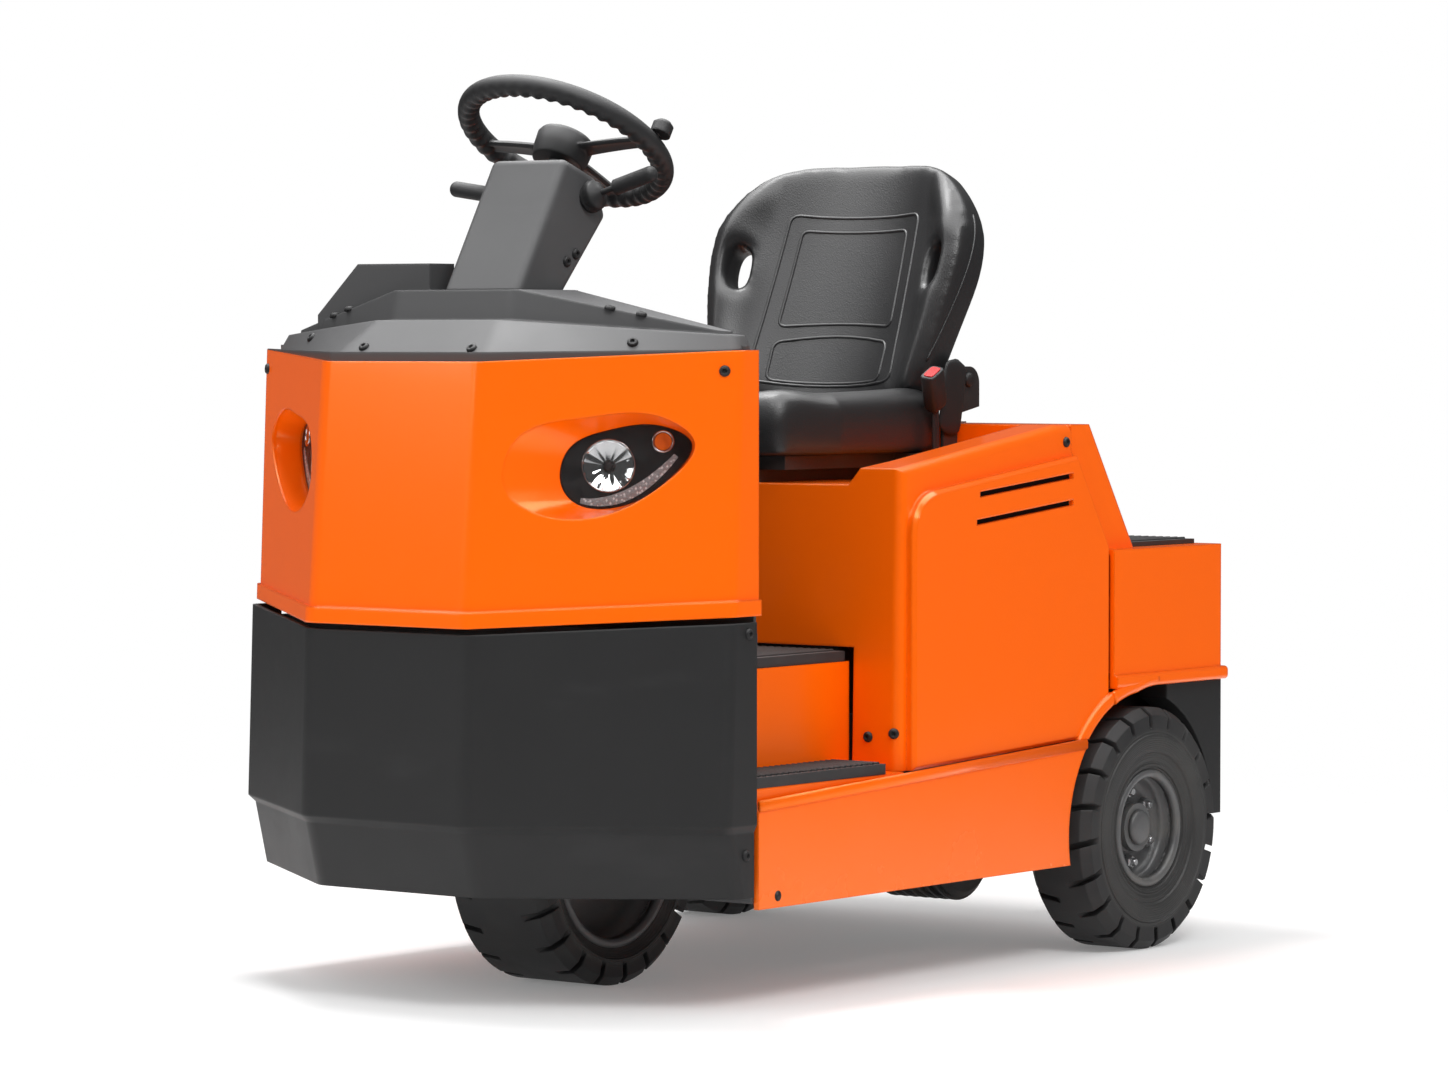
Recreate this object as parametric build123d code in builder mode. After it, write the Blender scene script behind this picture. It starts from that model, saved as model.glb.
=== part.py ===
"""Ride-on electric tow tractor with three wheels, built as a jointed assembly.

Frame: X forward, Y to the driver's left, Z up, millimetres. The origin lies on the
floor at the middle of the length and width.
"""
import math
import os

from build123d import *

# Overall sizes: main stations are shares of the length, and widths follow the hood's half width
overall_length = 1714.0
nose_front = overall_length / 2
tail_end = -overall_length / 2
hood_half_width = 445.0
wheel_radius = 200.0
front_axle_share = 0.2334
front_axle_x = front_axle_share * overall_length
hood_front_share = 0.0875
hood_front_x = hood_front_share * overall_length
hood_rear_share = -0.1937
hood_rear_x = hood_rear_share * overall_length
rear_axle_share = -0.3016
rear_axle_x = rear_axle_share * overall_length
running_gap = 0.3
panel_gap = 6.0

# Nose: plan corners at the bumper crease, and how they lean with height
ridge_y = 158.0
corner_outset = 36.0
corner_y = hood_half_width + corner_outset
corner_share = 0.3687
corner_x = corner_share * overall_length
nose_rear_share = 0.3267
nose_rear_x = nose_rear_share * overall_length
ridge_round = 45.0
corner_round = 24.0
bumper_bottom = 176.0
bumper_step_z = 274.0
bumper_crease = 285.0
bumper_top_mid = 569.0
bumper_top_corner_rise = 18.0
bumper_top_corner = bumper_top_mid + bumper_top_corner_rise
bumper_step = 11.0
bumper_tuck = 26.0
bumper_lean = 13.0
bumper_wall = 10.0
bumper_lip_height = 18.0

# Front panel above the bumper
panel_joint = 9.0
panel_ridge_inset = 4.0
panel_ridge_y = ridge_y - panel_ridge_inset
panel_corner_inset = 7.0
panel_corner_y = corner_y - panel_corner_inset
panel_corner_behind = 22.0
panel_corner_x = corner_x - panel_corner_behind
panel_rear_behind = 14.0
panel_rear_x = nose_rear_x - panel_rear_behind
panel_foot_rise = 26.0
panel_foot_z = bumper_top_mid + panel_foot_rise
panel_top_mid = 974.0
panel_top_corner_rise = 17.0
panel_top_corner = panel_top_mid + panel_top_corner_rise
panel_height = panel_top_mid - panel_foot_z
panel_ridge_lean = 33.0
panel_corner_lean = 17.0
panel_wall = 10.0
bead_height = 24.0
bead_proud = 5.0

# Lamp scoops in the two slanted facets
scoop_wall = 6.0
scoop_depth = 36.0
lamp_depth = 26.0
lamp_cover = 4.0
lamp_bowl = 14.0
lamp_round_share = 0.1
lamp_round = lamp_round_share * panel_height
turn_round_share = 0.034
turn_round = turn_round_share * panel_height

# Dash cowl
cowl_inset = 9.0
cowl_wall = 10.0
console_rear_behind = 44.0
console_rear_x = panel_rear_x - console_rear_behind
console_half_width = 92.0
cowl_foot_behind = 58.0
cowl_foot_x = nose_front - cowl_foot_behind
cowl_foot_corner_ahead = 38.0
cowl_foot_corner_x = panel_rear_x + cowl_foot_corner_ahead
cowl_shelf_behind = 131.0
cowl_shelf_x = nose_front - cowl_shelf_behind
cowl_shelf_corner_ahead = 17.0
cowl_shelf_corner_x = panel_rear_x + cowl_shelf_corner_ahead
cowl_shelf_mid_rise = 62.0
cowl_shelf_mid = panel_top_mid + cowl_shelf_mid_rise
cowl_shelf_corner_rise = 37.0
cowl_shelf_corner = panel_top_mid + cowl_shelf_corner_rise
cowl_ridge_y = 122.0
cowl_crown_behind = 145.0
cowl_crown_x = nose_front - cowl_crown_behind
cowl_crown_corner_ahead = 28.0
cowl_crown_corner_x = panel_rear_x + cowl_crown_corner_ahead
cowl_crown_inset = 46.0
cowl_crown_y = panel_corner_y - cowl_crown_inset
cowl_crown_lean = 26.0
cowl_top_mid_rise = 108.0
cowl_top_mid = panel_top_mid + cowl_top_mid_rise
cowl_top_corner_rise = 44.0
cowl_top_corner = panel_top_mid + cowl_top_corner_rise
pod_top_rise = 150.0
pod_top = panel_top_mid + pod_top_rise
pod_inner_y = -120.0
pod_outer_y = -352.0
pod_slope = 84.0
pod_depth = 58.0
bulkhead_sheet = 6.0

# Steering column and wheel
hub_behind = 127.0
hub_x = panel_rear_x - hub_behind
hub_rise = 232.0
hub_z = cowl_top_mid + hub_rise
column_lean = 31.0
column_width = 150.0
column_edge_round = 14.0
column_front_ahead = 82.0
column_front_x = panel_rear_x + column_front_ahead
column_head_behind = 36.0
column_head_x = panel_rear_x - column_head_behind
column_head_rise = 204.0
column_head_z = cowl_top_mid + column_head_rise
column_back_behind = 116.0
column_back_x = panel_rear_x - column_back_behind
column_back_rise = 174.0
column_back_z = cowl_top_mid + column_back_rise
column_bulge_behind = 138.0
column_bulge_x = panel_rear_x - column_bulge_behind
column_bulge_rise = 114.0
column_bulge_z = cowl_top_mid + column_bulge_rise
column_rear_behind = 38.0
column_rear_x = panel_rear_x - column_rear_behind
shaft_sink = 100.0
rim_radius = 160.0
rim_tube = 15.0
spoke_width = 34.0
spoke_thick = 9.0
hub_radius = 36.0
hub_height = 40.0
steering_shaft_radius = 14.0
knob_angle = 5.0
knob_out = 10.0
knob_radius = 16.5
knob_height = 26.0
lever_behind = 94.0
lever_x = panel_rear_x - lever_behind
lever_level_rise = 144.0
lever_z = cowl_top_mid + lever_level_rise
lever_reach = 128.0
lever_rise = 36.0
lever_radius = 5.0
lever_grip = 78.0
lever_grip_radius = 12.5
lever_grip_round = 9.0
lever_boot = 16.0
lever_boot_radius = 21.0

# Floor, steps and sills
floor_top_rise = 104.0
floor_top = 2 * wheel_radius + floor_top_rise
floor_sheet = 6.0
tunnel_inset = 94.0
tunnel_y = hood_half_width - tunnel_inset
tunnel_bottom_drop = 10.0
tunnel_bottom = wheel_radius - tunnel_bottom_drop
floor_mat_thick = 16.0
step_top = 336.0
step_sheet = 6.0
step_mat_thick = 16.0
step_mat_rear_ahead = 55.0
step_mat_rear_x = hood_front_x + step_mat_rear_ahead
sill_outset = 24.0
sill_y = hood_half_width + sill_outset
sill_sheet = 9.0
sill_ledge = 8.0
sill_bottom = 155.0
sill_top_front = 311.0
sill_rise = 0.045
mat_edge_gap = 4.0

# Pedals
pedal_behind = 46.0
pedal_x = panel_rear_x - pedal_behind
pedal_foot_rise = 44.0
pedal_foot_z = floor_top + pedal_foot_rise
pedal_width = 78.0
pedal_length = 118.0
pedal_thick = 10.0
pedal_tilt = 50.0
brake_pedal_y = 70.0
drive_pedal_y = -75.0
pedal_arm = 14.0

# Hood with seat deck, tipping back on barrels at its rear edge
hood_front_lean = 10.0
hood_wall = 9.0
hood_round = 16.0
shoulder_front_z = 806.0
shoulder_rear_z = 868.0
split_knee_z = 826.0
split_low_behind = 93.0
split_low_x = hood_rear_x - split_low_behind
split_low_z = 669.0
seat_deck_z = 780.0
seat_deck_inset = 102.0
seat_deck_half_width = hood_half_width - seat_deck_inset
seat_ramp_width = 31.0
seat_ramp_height = 36.0
seat_deck_rear_ahead = 36.0
seat_deck_rear_x = hood_rear_x + seat_deck_rear_ahead
side_panel_proud = 16.0
side_panel_front_behind = 22.0
side_panel_front_x = hood_front_x - side_panel_front_behind
side_panel_top_z = 763.0
side_panel_rear_z = 818.0
side_panel_round = 70.0
side_panel_bevel = 6.0
louvre_high_z = 757.0
louvre_low_z = 713.0
louvre_front_behind = 200.0
louvre_front_x = hood_front_x - louvre_front_behind
louvre_rear_ahead = 17.0
louvre_rear_x = hood_rear_x + louvre_rear_ahead
louvre_height = 9.0
louvre_climb = 0.092
louvre_depth = 9.0
hinge_radius = 7.0
hinge_pin_radius = 3.5
hinge_leaf = 36.0
hinge_leaf_thick = 3.0
hinge_y = 150.0
hinge_knuckle = 40.0

# Rear body, mudguards and tow coupling
rear_hood_inset = 5.0
rear_hood_y = hood_half_width - rear_hood_inset
rear_box_outset = 19.0
rear_box_y = hood_half_width + rear_box_outset
rear_face_ahead = 89.0
rear_face_x = tail_end + rear_face_ahead
rear_crest_behind = 70.0
rear_crest_x = hood_rear_x - rear_crest_behind
deck_drop = 7.0
deck_z = split_low_z - deck_drop
deck_front_behind = 203.0
deck_front_x = hood_rear_x - deck_front_behind
rear_wall = 9.0
rear_round = 14.0
arch_clearance = 25.0
arch_radius = wheel_radius + arch_clearance
arch_lip_rise = 9.0
arch_lip_z = wheel_radius + arch_radius + arch_lip_rise
arch_lip = 22.0
arch_lip_proud = 8.0
arch_lip_round = 7.0
mudguard_bottom = 207.0
mudguard_wall = 8.0
mudguard_front_behind = 83.0
mudguard_front_x = rear_axle_x - mudguard_front_behind
mudguard_width = 60.0
deck_mat_thick = 8.0
deck_mat_margin = 22.0
tail_lamp_radius = 30.0
tail_lamp_depth = 14.0
tail_lamp_inset = 76.0
tail_lamp_y = rear_box_y - tail_lamp_inset
tail_lamp_z = 560.0
coupling_plate = 14.0
coupling_bore = 13.0
coupling_bore_back = 36.0
coupling_half_width = 48.0
coupling_flange_half = 74.0
coupling_low_z = 262.0
coupling_pitch = 58.0
coupling_jaws = 3
coupling_margin = 22.0

# Chassis and drive line
frame_plate = 12.0
frame_inset = 7.0
frame_y = tunnel_y - frame_inset
frame_bottom = wheel_radius
frame_top_rise = 20.0
frame_top = 2 * wheel_radius + frame_top_rise
frame_rear_bottom_rise = 50.0
frame_rear_bottom = wheel_radius + frame_rear_bottom_rise
frame_rear_ahead = 8.0
frame_rear_x = rear_face_x + frame_rear_ahead
frame_kick_ahead = 207.0
frame_kick_x = rear_axle_x + frame_kick_ahead
frame_cross_behind = 10.0
frame_cross_x = hood_front_x - frame_cross_behind
head_plate_rear_behind = 120.0
head_plate_rear_x = front_axle_x - head_plate_rear_behind
head_boss_radius = 70.0
battery_front_behind = 30.0
battery_front_x = frame_cross_x - battery_front_behind
battery_rear_ahead = 10.0
battery_rear_x = frame_kick_x + battery_rear_ahead
battery_inset = 44.0
battery_half_width = frame_y - battery_inset
battery_top_drop = 30.0
battery_top = seat_deck_z - battery_top_drop
axle_radius = 34.0
axle_stub_radius = 24.0
drum_radius_share = 0.36
drum_radius = drum_radius_share * wheel_radius
drum_inner_outset = 6.0
drum_inner_y = frame_y + drum_inner_outset
drum_width = 48.0
saddle_half = 40.0
gear_case_radius = 78.0
gear_case_left_y = 36.0
gear_case_right_y = -52.0
motor_radius = 84.0
motor_ahead = 123.0
motor_x = rear_axle_x + motor_ahead
motor_drop = 38.0
motor_z = wheel_radius - motor_drop
motor_end_y = 196.0
motor_edge = 9.0

# Wheels
rear_tyre_width = 122.0
rear_wheel_face_outset = 41.0
rear_wheel_face = hood_half_width + rear_wheel_face_outset
front_tyre_width = 190.0
rear_bead_radius_share = 0.46
rear_bead_radius = rear_bead_radius_share * wheel_radius
front_bead_radius_share = 0.68
front_bead_radius = front_bead_radius_share * wheel_radius
tyre_shoulder = 14.0
sidewall_dip = 6.0
lug_count = 20
lug_gap = 10.0
lug_reach = 42.0
lug_depth = 17.0
lug_slant = 14.0
lug_tilt = 35.0
rim_lip = 8.0
rim_disc = 9.0
hub_boss_radius = 40.0
hub_inner = 20.0
hub_outer = 30.0
fork_arm = 16.0
fork_arm_half = 40.0
fork_gap = 14.0
fork_crown = 18.0
fork_wheel_gap = 16.0
fork_crown_half = 66.0
steer_pin_radius = 34.0
steer_pin_height = 44.0
front_axle_radius = 16.0

# Seat
seat_half_width = 243.0
cushion_length = 422.0
cushion_rear_ahead = 46.0
cushion_rear_x = seat_deck_rear_x + cushion_rear_ahead
cushion_front_x = cushion_rear_x + cushion_length
cushion_bottom_rise = 42.0
cushion_bottom = seat_deck_z + cushion_bottom_rise
cushion_top_rise = 92.0
cushion_top = cushion_bottom + cushion_top_rise
cushion_round = 28.0
seat_pan_half_width = 200.0
seat_pan_thick = 22.0
seat_rail_y = 130.0
seat_rail_width = 36.0
back_foot_behind = 4.0
back_foot_x = cushion_rear_x - back_foot_behind
back_foot_drop = 24.0
back_foot_z = cushion_top - back_foot_drop
back_lean = 20.0
back_height = 426.0
back_thick = 92.0
back_foot_half = 214.0
back_wrap = 70.0
back_wide_half = seat_half_width
back_section_half = 1.1 * back_wide_half
back_wide_low = 48.0
back_low_round = 20.0
back_top_round = 146.0
hand_hole_u = 197.0
hand_hole_v = 238.0
hand_hole_width = 26.0
hand_hole_height = 84.0
bracket_thick = 6.0
bracket_front_ahead = 70.0
bracket_front_x = cushion_rear_x + bracket_front_ahead
bracket_mid_behind = 39.0
bracket_mid_x = cushion_rear_x - bracket_mid_behind
bracket_rear_behind = 102.0
bracket_rear_x = cushion_rear_x - bracket_rear_behind
bracket_top_rise = 48.0
bracket_top = cushion_top + bracket_top_rise
bracket_round = 28.0
buckle_ahead = 38.0
buckle_x = cushion_rear_x + buckle_ahead
buckle_drop = 14.0
buckle_z = cushion_top - buckle_drop
buckle_height = 52.0
buckle_half = 14.0
buckle_thick = 18.0

os.makedirs("parts", exist_ok=True)


def write(piece, name):
    """Label a finished piece and write it as its own STEP file."""
    piece.part.label = name
    export_step(piece.part, f"parts/{name}.step")


def block(x0, x1, y0, y1, z0, z1, mode=Mode.ADD):
    """Box between two corners."""
    with Locations(((x0 + x1) / 2, (y0 + y1) / 2, (z0 + z1) / 2)):
        Box(x1 - x0, y1 - y0, z1 - z0, mode=mode)


def nose_section(z, front, front_y, side, side_y, rear, inset=0.0):
    """Plan section of the nose at height z: a centre facet and two slanted facets."""
    facet_inset = inset / 2
    ridge_inset = inset / 3
    with BuildSketch(Plane.XY.offset(z)) as section:
        with BuildLine():
            FilletPolyline(
                (rear, -side_y + inset),
                (side - facet_inset, -side_y + inset),
                (front - inset, -front_y + ridge_inset),
                (front - inset, front_y - ridge_inset),
                (side - facet_inset, side_y - inset),
                (rear, side_y - inset),
                radius=[0, corner_round, ridge_round, ridge_round, corner_round, 0],
                close=True,
            )
        make_face()
    return section.sketch


def vee_area(z_mid, z_side, half_y, side_y, z_far):
    """Area in the YZ plane between height z_far and a line that climbs to both sides."""
    reach = 2 * side_y
    climb = (z_side - z_mid) / (side_y - half_y)
    z_end = z_mid + climb * (reach - half_y)
    with BuildSketch(Plane.YZ) as area:
        with BuildLine():
            Polyline(
                (-reach, z_end), (-half_y, z_mid), (half_y, z_mid), (reach, z_end),
                (reach, z_far), (-reach, z_far), close=True,
            )
        make_face()
    return area.sketch


def profile_xz(*points):
    """Closed area on the XZ plane from corner points given as X and Z."""
    with BuildSketch(Plane.XZ) as area:
        with BuildLine():
            Polyline(*points, close=True)
        make_face()
    return area.sketch


# Front bumper: a hollow moulding with a stepped lower edge, open behind
bumper_levels = (
    (bumper_bottom, -bumper_step - bumper_tuck, -bumper_step / 2),
    (bumper_step_z, -bumper_step, -bumper_step / 2),
    (bumper_crease, 0.0, 0.0),
    (panel_foot_z + bumper_lip_height, -bumper_lean, 0.0),
)


def bumper_sections(rear, inset):
    """Plan sections of the bumper from its lower edge up."""
    return [
        nose_section(z, nose_front + dx, ridge_y, corner_x + dx, corner_y + dy, rear, inset)
        for z, dx, dy in bumper_levels
    ]


with BuildPart() as front_bumper:
    loft(bumper_sections(nose_rear_x, 0.0), ruled=True)
    loft(bumper_sections(nose_rear_x - 1, bumper_wall), ruled=True, mode=Mode.SUBTRACT)
    extrude(vee_area(bumper_top_mid, bumper_top_corner, ridge_y, corner_y, 2 * bumper_top_mid),
            amount=overall_length, mode=Mode.SUBTRACT)
write(front_bumper, "front_bumper")


# Front panel: a leaning faceted shell with two lamp scoops that run back along X
panel_low = bumper_top_mid - bumper_lip_height
panel_high = panel_top_corner + bumper_lip_height


def panel_sections(inset=0.0, extend=0.0):
    """Plan sections of the front panel, which leans back as it rises."""
    sections = []
    for z in (panel_low, panel_high):
        t = (z - panel_foot_z) / panel_height
        sections.append(nose_section(
            z, nose_front - bumper_lean - panel_ridge_lean * t, panel_ridge_y,
            panel_corner_x - panel_corner_lean * t, panel_corner_y, panel_rear_x - extend, inset))
    return sections


# Left slanted facet as a plane: u runs outward along it from the ridge, v runs up it
facet_ridge = Vector(nose_front - bumper_lean, panel_ridge_y, panel_foot_z)
facet_corner = Vector(panel_corner_x, panel_corner_y, panel_foot_z)
facet_head = Vector(nose_front - bumper_lean - panel_ridge_lean, panel_ridge_y, panel_top_mid)
facet_width = (facet_corner - facet_ridge).length
facet_across = (facet_corner - facet_ridge).normalized()
facet_out = facet_across.cross(facet_head - facet_ridge).normalized()
facet = Plane(origin=facet_ridge, x_dir=facet_across, z_dir=facet_out)


def facet_point(across, up):
    """Point on the facet from shares of its width and height."""
    return across * facet_width, up * panel_height


def facet_area(depth, grow, shares):
    """Smooth outline parallel to the left facet, a depth behind it, its points moved outward."""
    spots = [Vector(*facet_point(across, up)) for across, up in shares]
    middle = sum(spots, Vector(0, 0)) / len(spots)
    with BuildSketch(facet.offset(-depth)) as outline:
        with BuildLine():
            Spline(*[spot + (spot - middle).normalized() * grow for spot in spots], periodic=True)
        make_face()
    return outline.sketch


scoop_left_half = ((0.138, 0.57), (0.215, 0.72), (0.45, 0.782), (0.76, 0.774))
scoop_right_half = ((0.856, 0.69), (0.745, 0.525), (0.47, 0.39), (0.22, 0.43))
lamp_left_half = ((0.348, 0.575), (0.40, 0.685), (0.54, 0.742), (0.735, 0.755))
lamp_right_half = ((0.842, 0.69), (0.755, 0.545), (0.56, 0.435), (0.40, 0.455))
lamp_centre = facet_point(0.53, 0.60)
turn_centre = facet_point(0.735, 0.695)


def scoop_area(depth, grow=0.0):
    """Mouth of the lamp scoop in the facet."""
    return facet_area(depth, grow, scoop_left_half + scoop_right_half)


def lamp_area(depth, grow=0.0):
    """Outline of the lamp unit at the bottom of the scoop."""
    return facet_area(depth, grow, lamp_left_half + lamp_right_half)


with BuildPart() as scoop_block:
    extrude(scoop_area(scoop_depth + lamp_depth, scoop_wall), amount=scoop_depth + 2 * lamp_depth)
    loft(panel_sections(), ruled=True, mode=Mode.INTERSECT)

with BuildPart() as scoop_cut:
    loft([scoop_area(0.0), lamp_area(scoop_depth)], ruled=True)
    extrude(scoop_area(0.0), amount=scoop_depth)
    extrude(lamp_area(scoop_depth), amount=-2 * lamp_depth)

panel_edge_mid = bumper_top_mid + panel_joint
panel_edge_corner = bumper_top_corner + panel_joint
with BuildPart() as panel_bead:
    loft(panel_sections(-bead_proud), ruled=True)
    extrude(vee_area(panel_edge_mid + bead_height, panel_edge_corner + bead_height, ridge_y, corner_y,
                     2 * panel_top_mid), amount=overall_length, mode=Mode.SUBTRACT)

with BuildPart() as front_panel:
    loft(panel_sections(), ruled=True)
    add(panel_bead.part)
    loft(panel_sections(panel_wall, 1.0), ruled=True, mode=Mode.SUBTRACT)
    add(scoop_block.part)
    mirror(scoop_block.part, about=Plane.XZ)
    add(scoop_cut.part, mode=Mode.SUBTRACT)
    mirror(scoop_cut.part, about=Plane.XZ, mode=Mode.SUBTRACT)
    extrude(vee_area(panel_top_mid, panel_top_corner, panel_ridge_y, panel_corner_y, 2 * panel_top_mid),
            amount=overall_length, mode=Mode.SUBTRACT)
    extrude(vee_area(panel_edge_mid, panel_edge_corner, ridge_y, corner_y, 0),
            amount=overall_length, mode=Mode.SUBTRACT)
write(front_panel, "front_panel")

# Headlamps: a dark housing with a round bowl, a clear cover and an amber turn lens
with BuildPart() as headlamp_left:
    extrude(lamp_area(scoop_depth + lamp_depth, -running_gap), amount=lamp_depth - lamp_cover)
    with BuildSketch(facet.offset(-scoop_depth - lamp_cover)):
        with Locations(lamp_centre):
            Circle(lamp_round)
    extrude(amount=-lamp_bowl, taper=20, mode=Mode.SUBTRACT)
    with BuildSketch(facet.offset(-scoop_depth - lamp_cover)):
        with Locations(turn_centre):
            Circle(turn_round + running_gap)
    extrude(amount=-lamp_bowl, mode=Mode.SUBTRACT)

with BuildPart() as lamp_cover_left:
    extrude(lamp_area(scoop_depth + lamp_cover, -running_gap), amount=lamp_cover)
    chamfer(lamp_cover_left.faces().sort_by(Axis((0, 0, 0), tuple(facet_out)))[-1].edges(), lamp_cover / 2)

with BuildPart() as turn_lens_left:
    with BuildSketch(facet.offset(-scoop_depth - lamp_cover)):
        with Locations(turn_centre):
            Circle(turn_round)
    extrude(amount=-lamp_bowl)

for left_piece, name in (
    (headlamp_left, "headlamp"), (lamp_cover_left, "headlamp_cover"), (turn_lens_left, "turn_lens"),
):
    write(left_piece, f"{name}_left")
    with BuildPart() as right_piece:
        mirror(left_piece.part, about=Plane.XZ)
    write(right_piece, f"{name}_right")

# Dash cowl: a sloping shelf on the panel's rim, a raised centre and a pod on the right
with BuildPart() as cowl_shelf:
    loft([
        nose_section(panel_top_mid, cowl_foot_x, panel_ridge_y, cowl_foot_corner_x,
                     panel_corner_y - cowl_inset, panel_rear_x),
        nose_section(cowl_shelf_mid, cowl_shelf_x, cowl_ridge_y, cowl_shelf_corner_x,
                     panel_corner_y - 4 * cowl_inset, panel_rear_x),
    ], ruled=True)
    extrude(vee_area(cowl_shelf_mid, cowl_shelf_corner, cowl_ridge_y, panel_corner_y, 2 * cowl_top_mid),
            amount=overall_length, mode=Mode.SUBTRACT)

with BuildPart() as dash_cowl:
    loft([
        nose_section(panel_top_mid, cowl_crown_x, cowl_ridge_y, cowl_crown_corner_x, cowl_crown_y,
                     panel_rear_x),
        nose_section(cowl_top_mid, cowl_crown_x - cowl_crown_lean, cowl_ridge_y - cowl_inset,
                     cowl_crown_corner_x - cowl_inset, cowl_crown_y - cowl_inset, panel_rear_x),
    ], ruled=True)
    extrude(vee_area(cowl_top_mid, cowl_top_corner, cowl_ridge_y, cowl_crown_y, 2 * cowl_top_mid),
            amount=overall_length, mode=Mode.SUBTRACT)
    add(cowl_shelf.part)
    with BuildSketch(Plane.YZ.offset(panel_rear_x)):
        with BuildLine():
            Polyline(
                (pod_inner_y, panel_top_corner), (pod_inner_y, pod_top), (pod_outer_y + pod_slope, pod_top),
                (pod_outer_y, cowl_shelf_mid + cowl_inset), (pod_outer_y, panel_top_corner), close=True,
            )
        make_face()
    extrude(amount=pod_depth)
    block(console_rear_x, panel_rear_x, -console_half_width, console_half_width, panel_top_mid, cowl_top_mid)
    extrude(vee_area(panel_top_mid, panel_top_corner, panel_ridge_y, panel_corner_y, 0),
            amount=overall_length, mode=Mode.SUBTRACT)
    block(panel_rear_x + cowl_wall, cowl_foot_corner_x, -cowl_crown_y + cowl_wall, cowl_crown_y - cowl_wall,
          panel_top_mid, cowl_shelf_corner - 2 * cowl_wall, mode=Mode.SUBTRACT)
write(dash_cowl, "dash_cowl")

# Bulkhead: sheet behind the nose, with legs beside the wheel tunnel
bulkhead_x = panel_rear_x - bulkhead_sheet
with BuildPart() as bulkhead:
    block(bulkhead_x, panel_rear_x, -panel_corner_y + panel_wall, panel_corner_y - panel_wall,
          floor_top, panel_top_mid)
    for side in (1, -1):
        edges = sorted((side * (tunnel_y + running_gap), side * (sill_y - sill_sheet)))
        block(bulkhead_x, panel_rear_x, edges[0], edges[1], sill_bottom + sill_sheet, floor_top)
    block(panel_rear_x, nose_rear_x, -corner_y + bumper_wall, corner_y - bumper_wall,
          bumper_top_mid - 2 * bumper_wall, bumper_top_mid)
write(bulkhead, "bulkhead")

# Steering column: a leaning shroud with a bulge to the rear, and the shaft for the wheel
lean = math.radians(column_lean)
column_up = Vector(-math.sin(lean), 0, math.cos(lean))
steering_plane = Plane(origin=(hub_x, 0, hub_z), x_dir=(0, 1, 0), z_dir=column_up)


def above_cowl(edge):
    """True for an edge of the column that doesn't lie on the cowl."""
    return edge.center().Z > cowl_top_mid + running_gap


with BuildPart() as steering_column:
    extrude(profile_xz(
        (column_front_x, cowl_top_mid), (column_head_x, column_head_z), (column_back_x, column_back_z),
        (column_bulge_x, column_bulge_z), (column_rear_x, cowl_top_mid),
    ), amount=column_width / 2, both=True)
    fillet(steering_column.edges().filter_by(Axis.Y).filter_by(above_cowl), column_edge_round)
    fillet(steering_column.faces().filter_by(Axis.Y).edges().filter_by(above_cowl), column_edge_round)
    with BuildSketch(steering_plane.offset(-shaft_sink)):
        Circle(steering_shaft_radius)
    extrude(amount=shaft_sink)
write(steering_column, "steering_column")

with BuildPart(steering_plane) as steering_wheel:
    Torus(rim_radius, rim_tube)
    with BuildSketch(steering_plane.offset(-spoke_thick)):
        with PolarLocations(rim_radius / 2, 3, start_angle=0, angular_range=180, endpoint=True):
            Rectangle(rim_radius, spoke_width)
    extrude(amount=spoke_thick)
    with BuildSketch(steering_plane.offset(-hub_height)):
        Circle(hub_radius)
    extrude(amount=hub_height + spoke_thick)
    with BuildSketch(steering_plane.offset(-hub_height)):
        Circle(steering_shaft_radius + running_gap)
    extrude(amount=hub_height + running_gap, mode=Mode.SUBTRACT)
write(steering_wheel, "steering_wheel")

with BuildPart() as spinner_knob:
    with BuildSketch(steering_plane.offset(rim_tube)):
        with PolarLocations(rim_radius, 1, start_angle=knob_angle):
            Circle(knob_radius / 2)
    extrude(amount=knob_height / 2)
    with BuildSketch(steering_plane.offset(rim_tube + knob_height / 8)):
        with PolarLocations(rim_radius + knob_out, 1, start_angle=knob_angle):
            Circle(knob_radius)
    extrude(amount=knob_height * 7 / 8)
    chamfer(spinner_knob.faces().sort_by(Axis((0, 0, 0), tuple(column_up)))[-1].edges(), knob_radius / 3)
write(spinner_knob, "spinner_knob")

with BuildPart() as column_levers:
    for side, rise in ((1, lever_rise), (-1, lever_rise / 2)):
        foot = Vector(lever_x, side * column_width / 2, lever_z)
        tip = foot + Vector(0, side * lever_reach, rise)
        lever = Plane(origin=foot, z_dir=(tip - foot).normalized())
        with BuildSketch(lever):
            Circle(lever_radius)
        extrude(amount=(tip - foot).length)
        with BuildSketch(lever.offset((tip - foot).length - lever_grip)):
            Circle(lever_grip_radius)
        extrude(amount=lever_grip)
        with BuildSketch(lever.offset(-lever_boot)):
            Circle(lever_boot_radius)
        extrude(amount=2 * lever_boot)
    grip_ends = column_levers.edges().filter_by(GeomType.CIRCLE).sort_by(Axis.Y)
    fillet([grip_ends[0], grip_ends[-1]], lever_grip_round)
    block(lever_x - hub_radius, lever_x + hub_radius, -column_width / 2, column_width / 2,
          lever_z - hub_radius, lever_z + hub_radius, mode=Mode.SUBTRACT)
write(column_levers, "column_levers")

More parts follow.
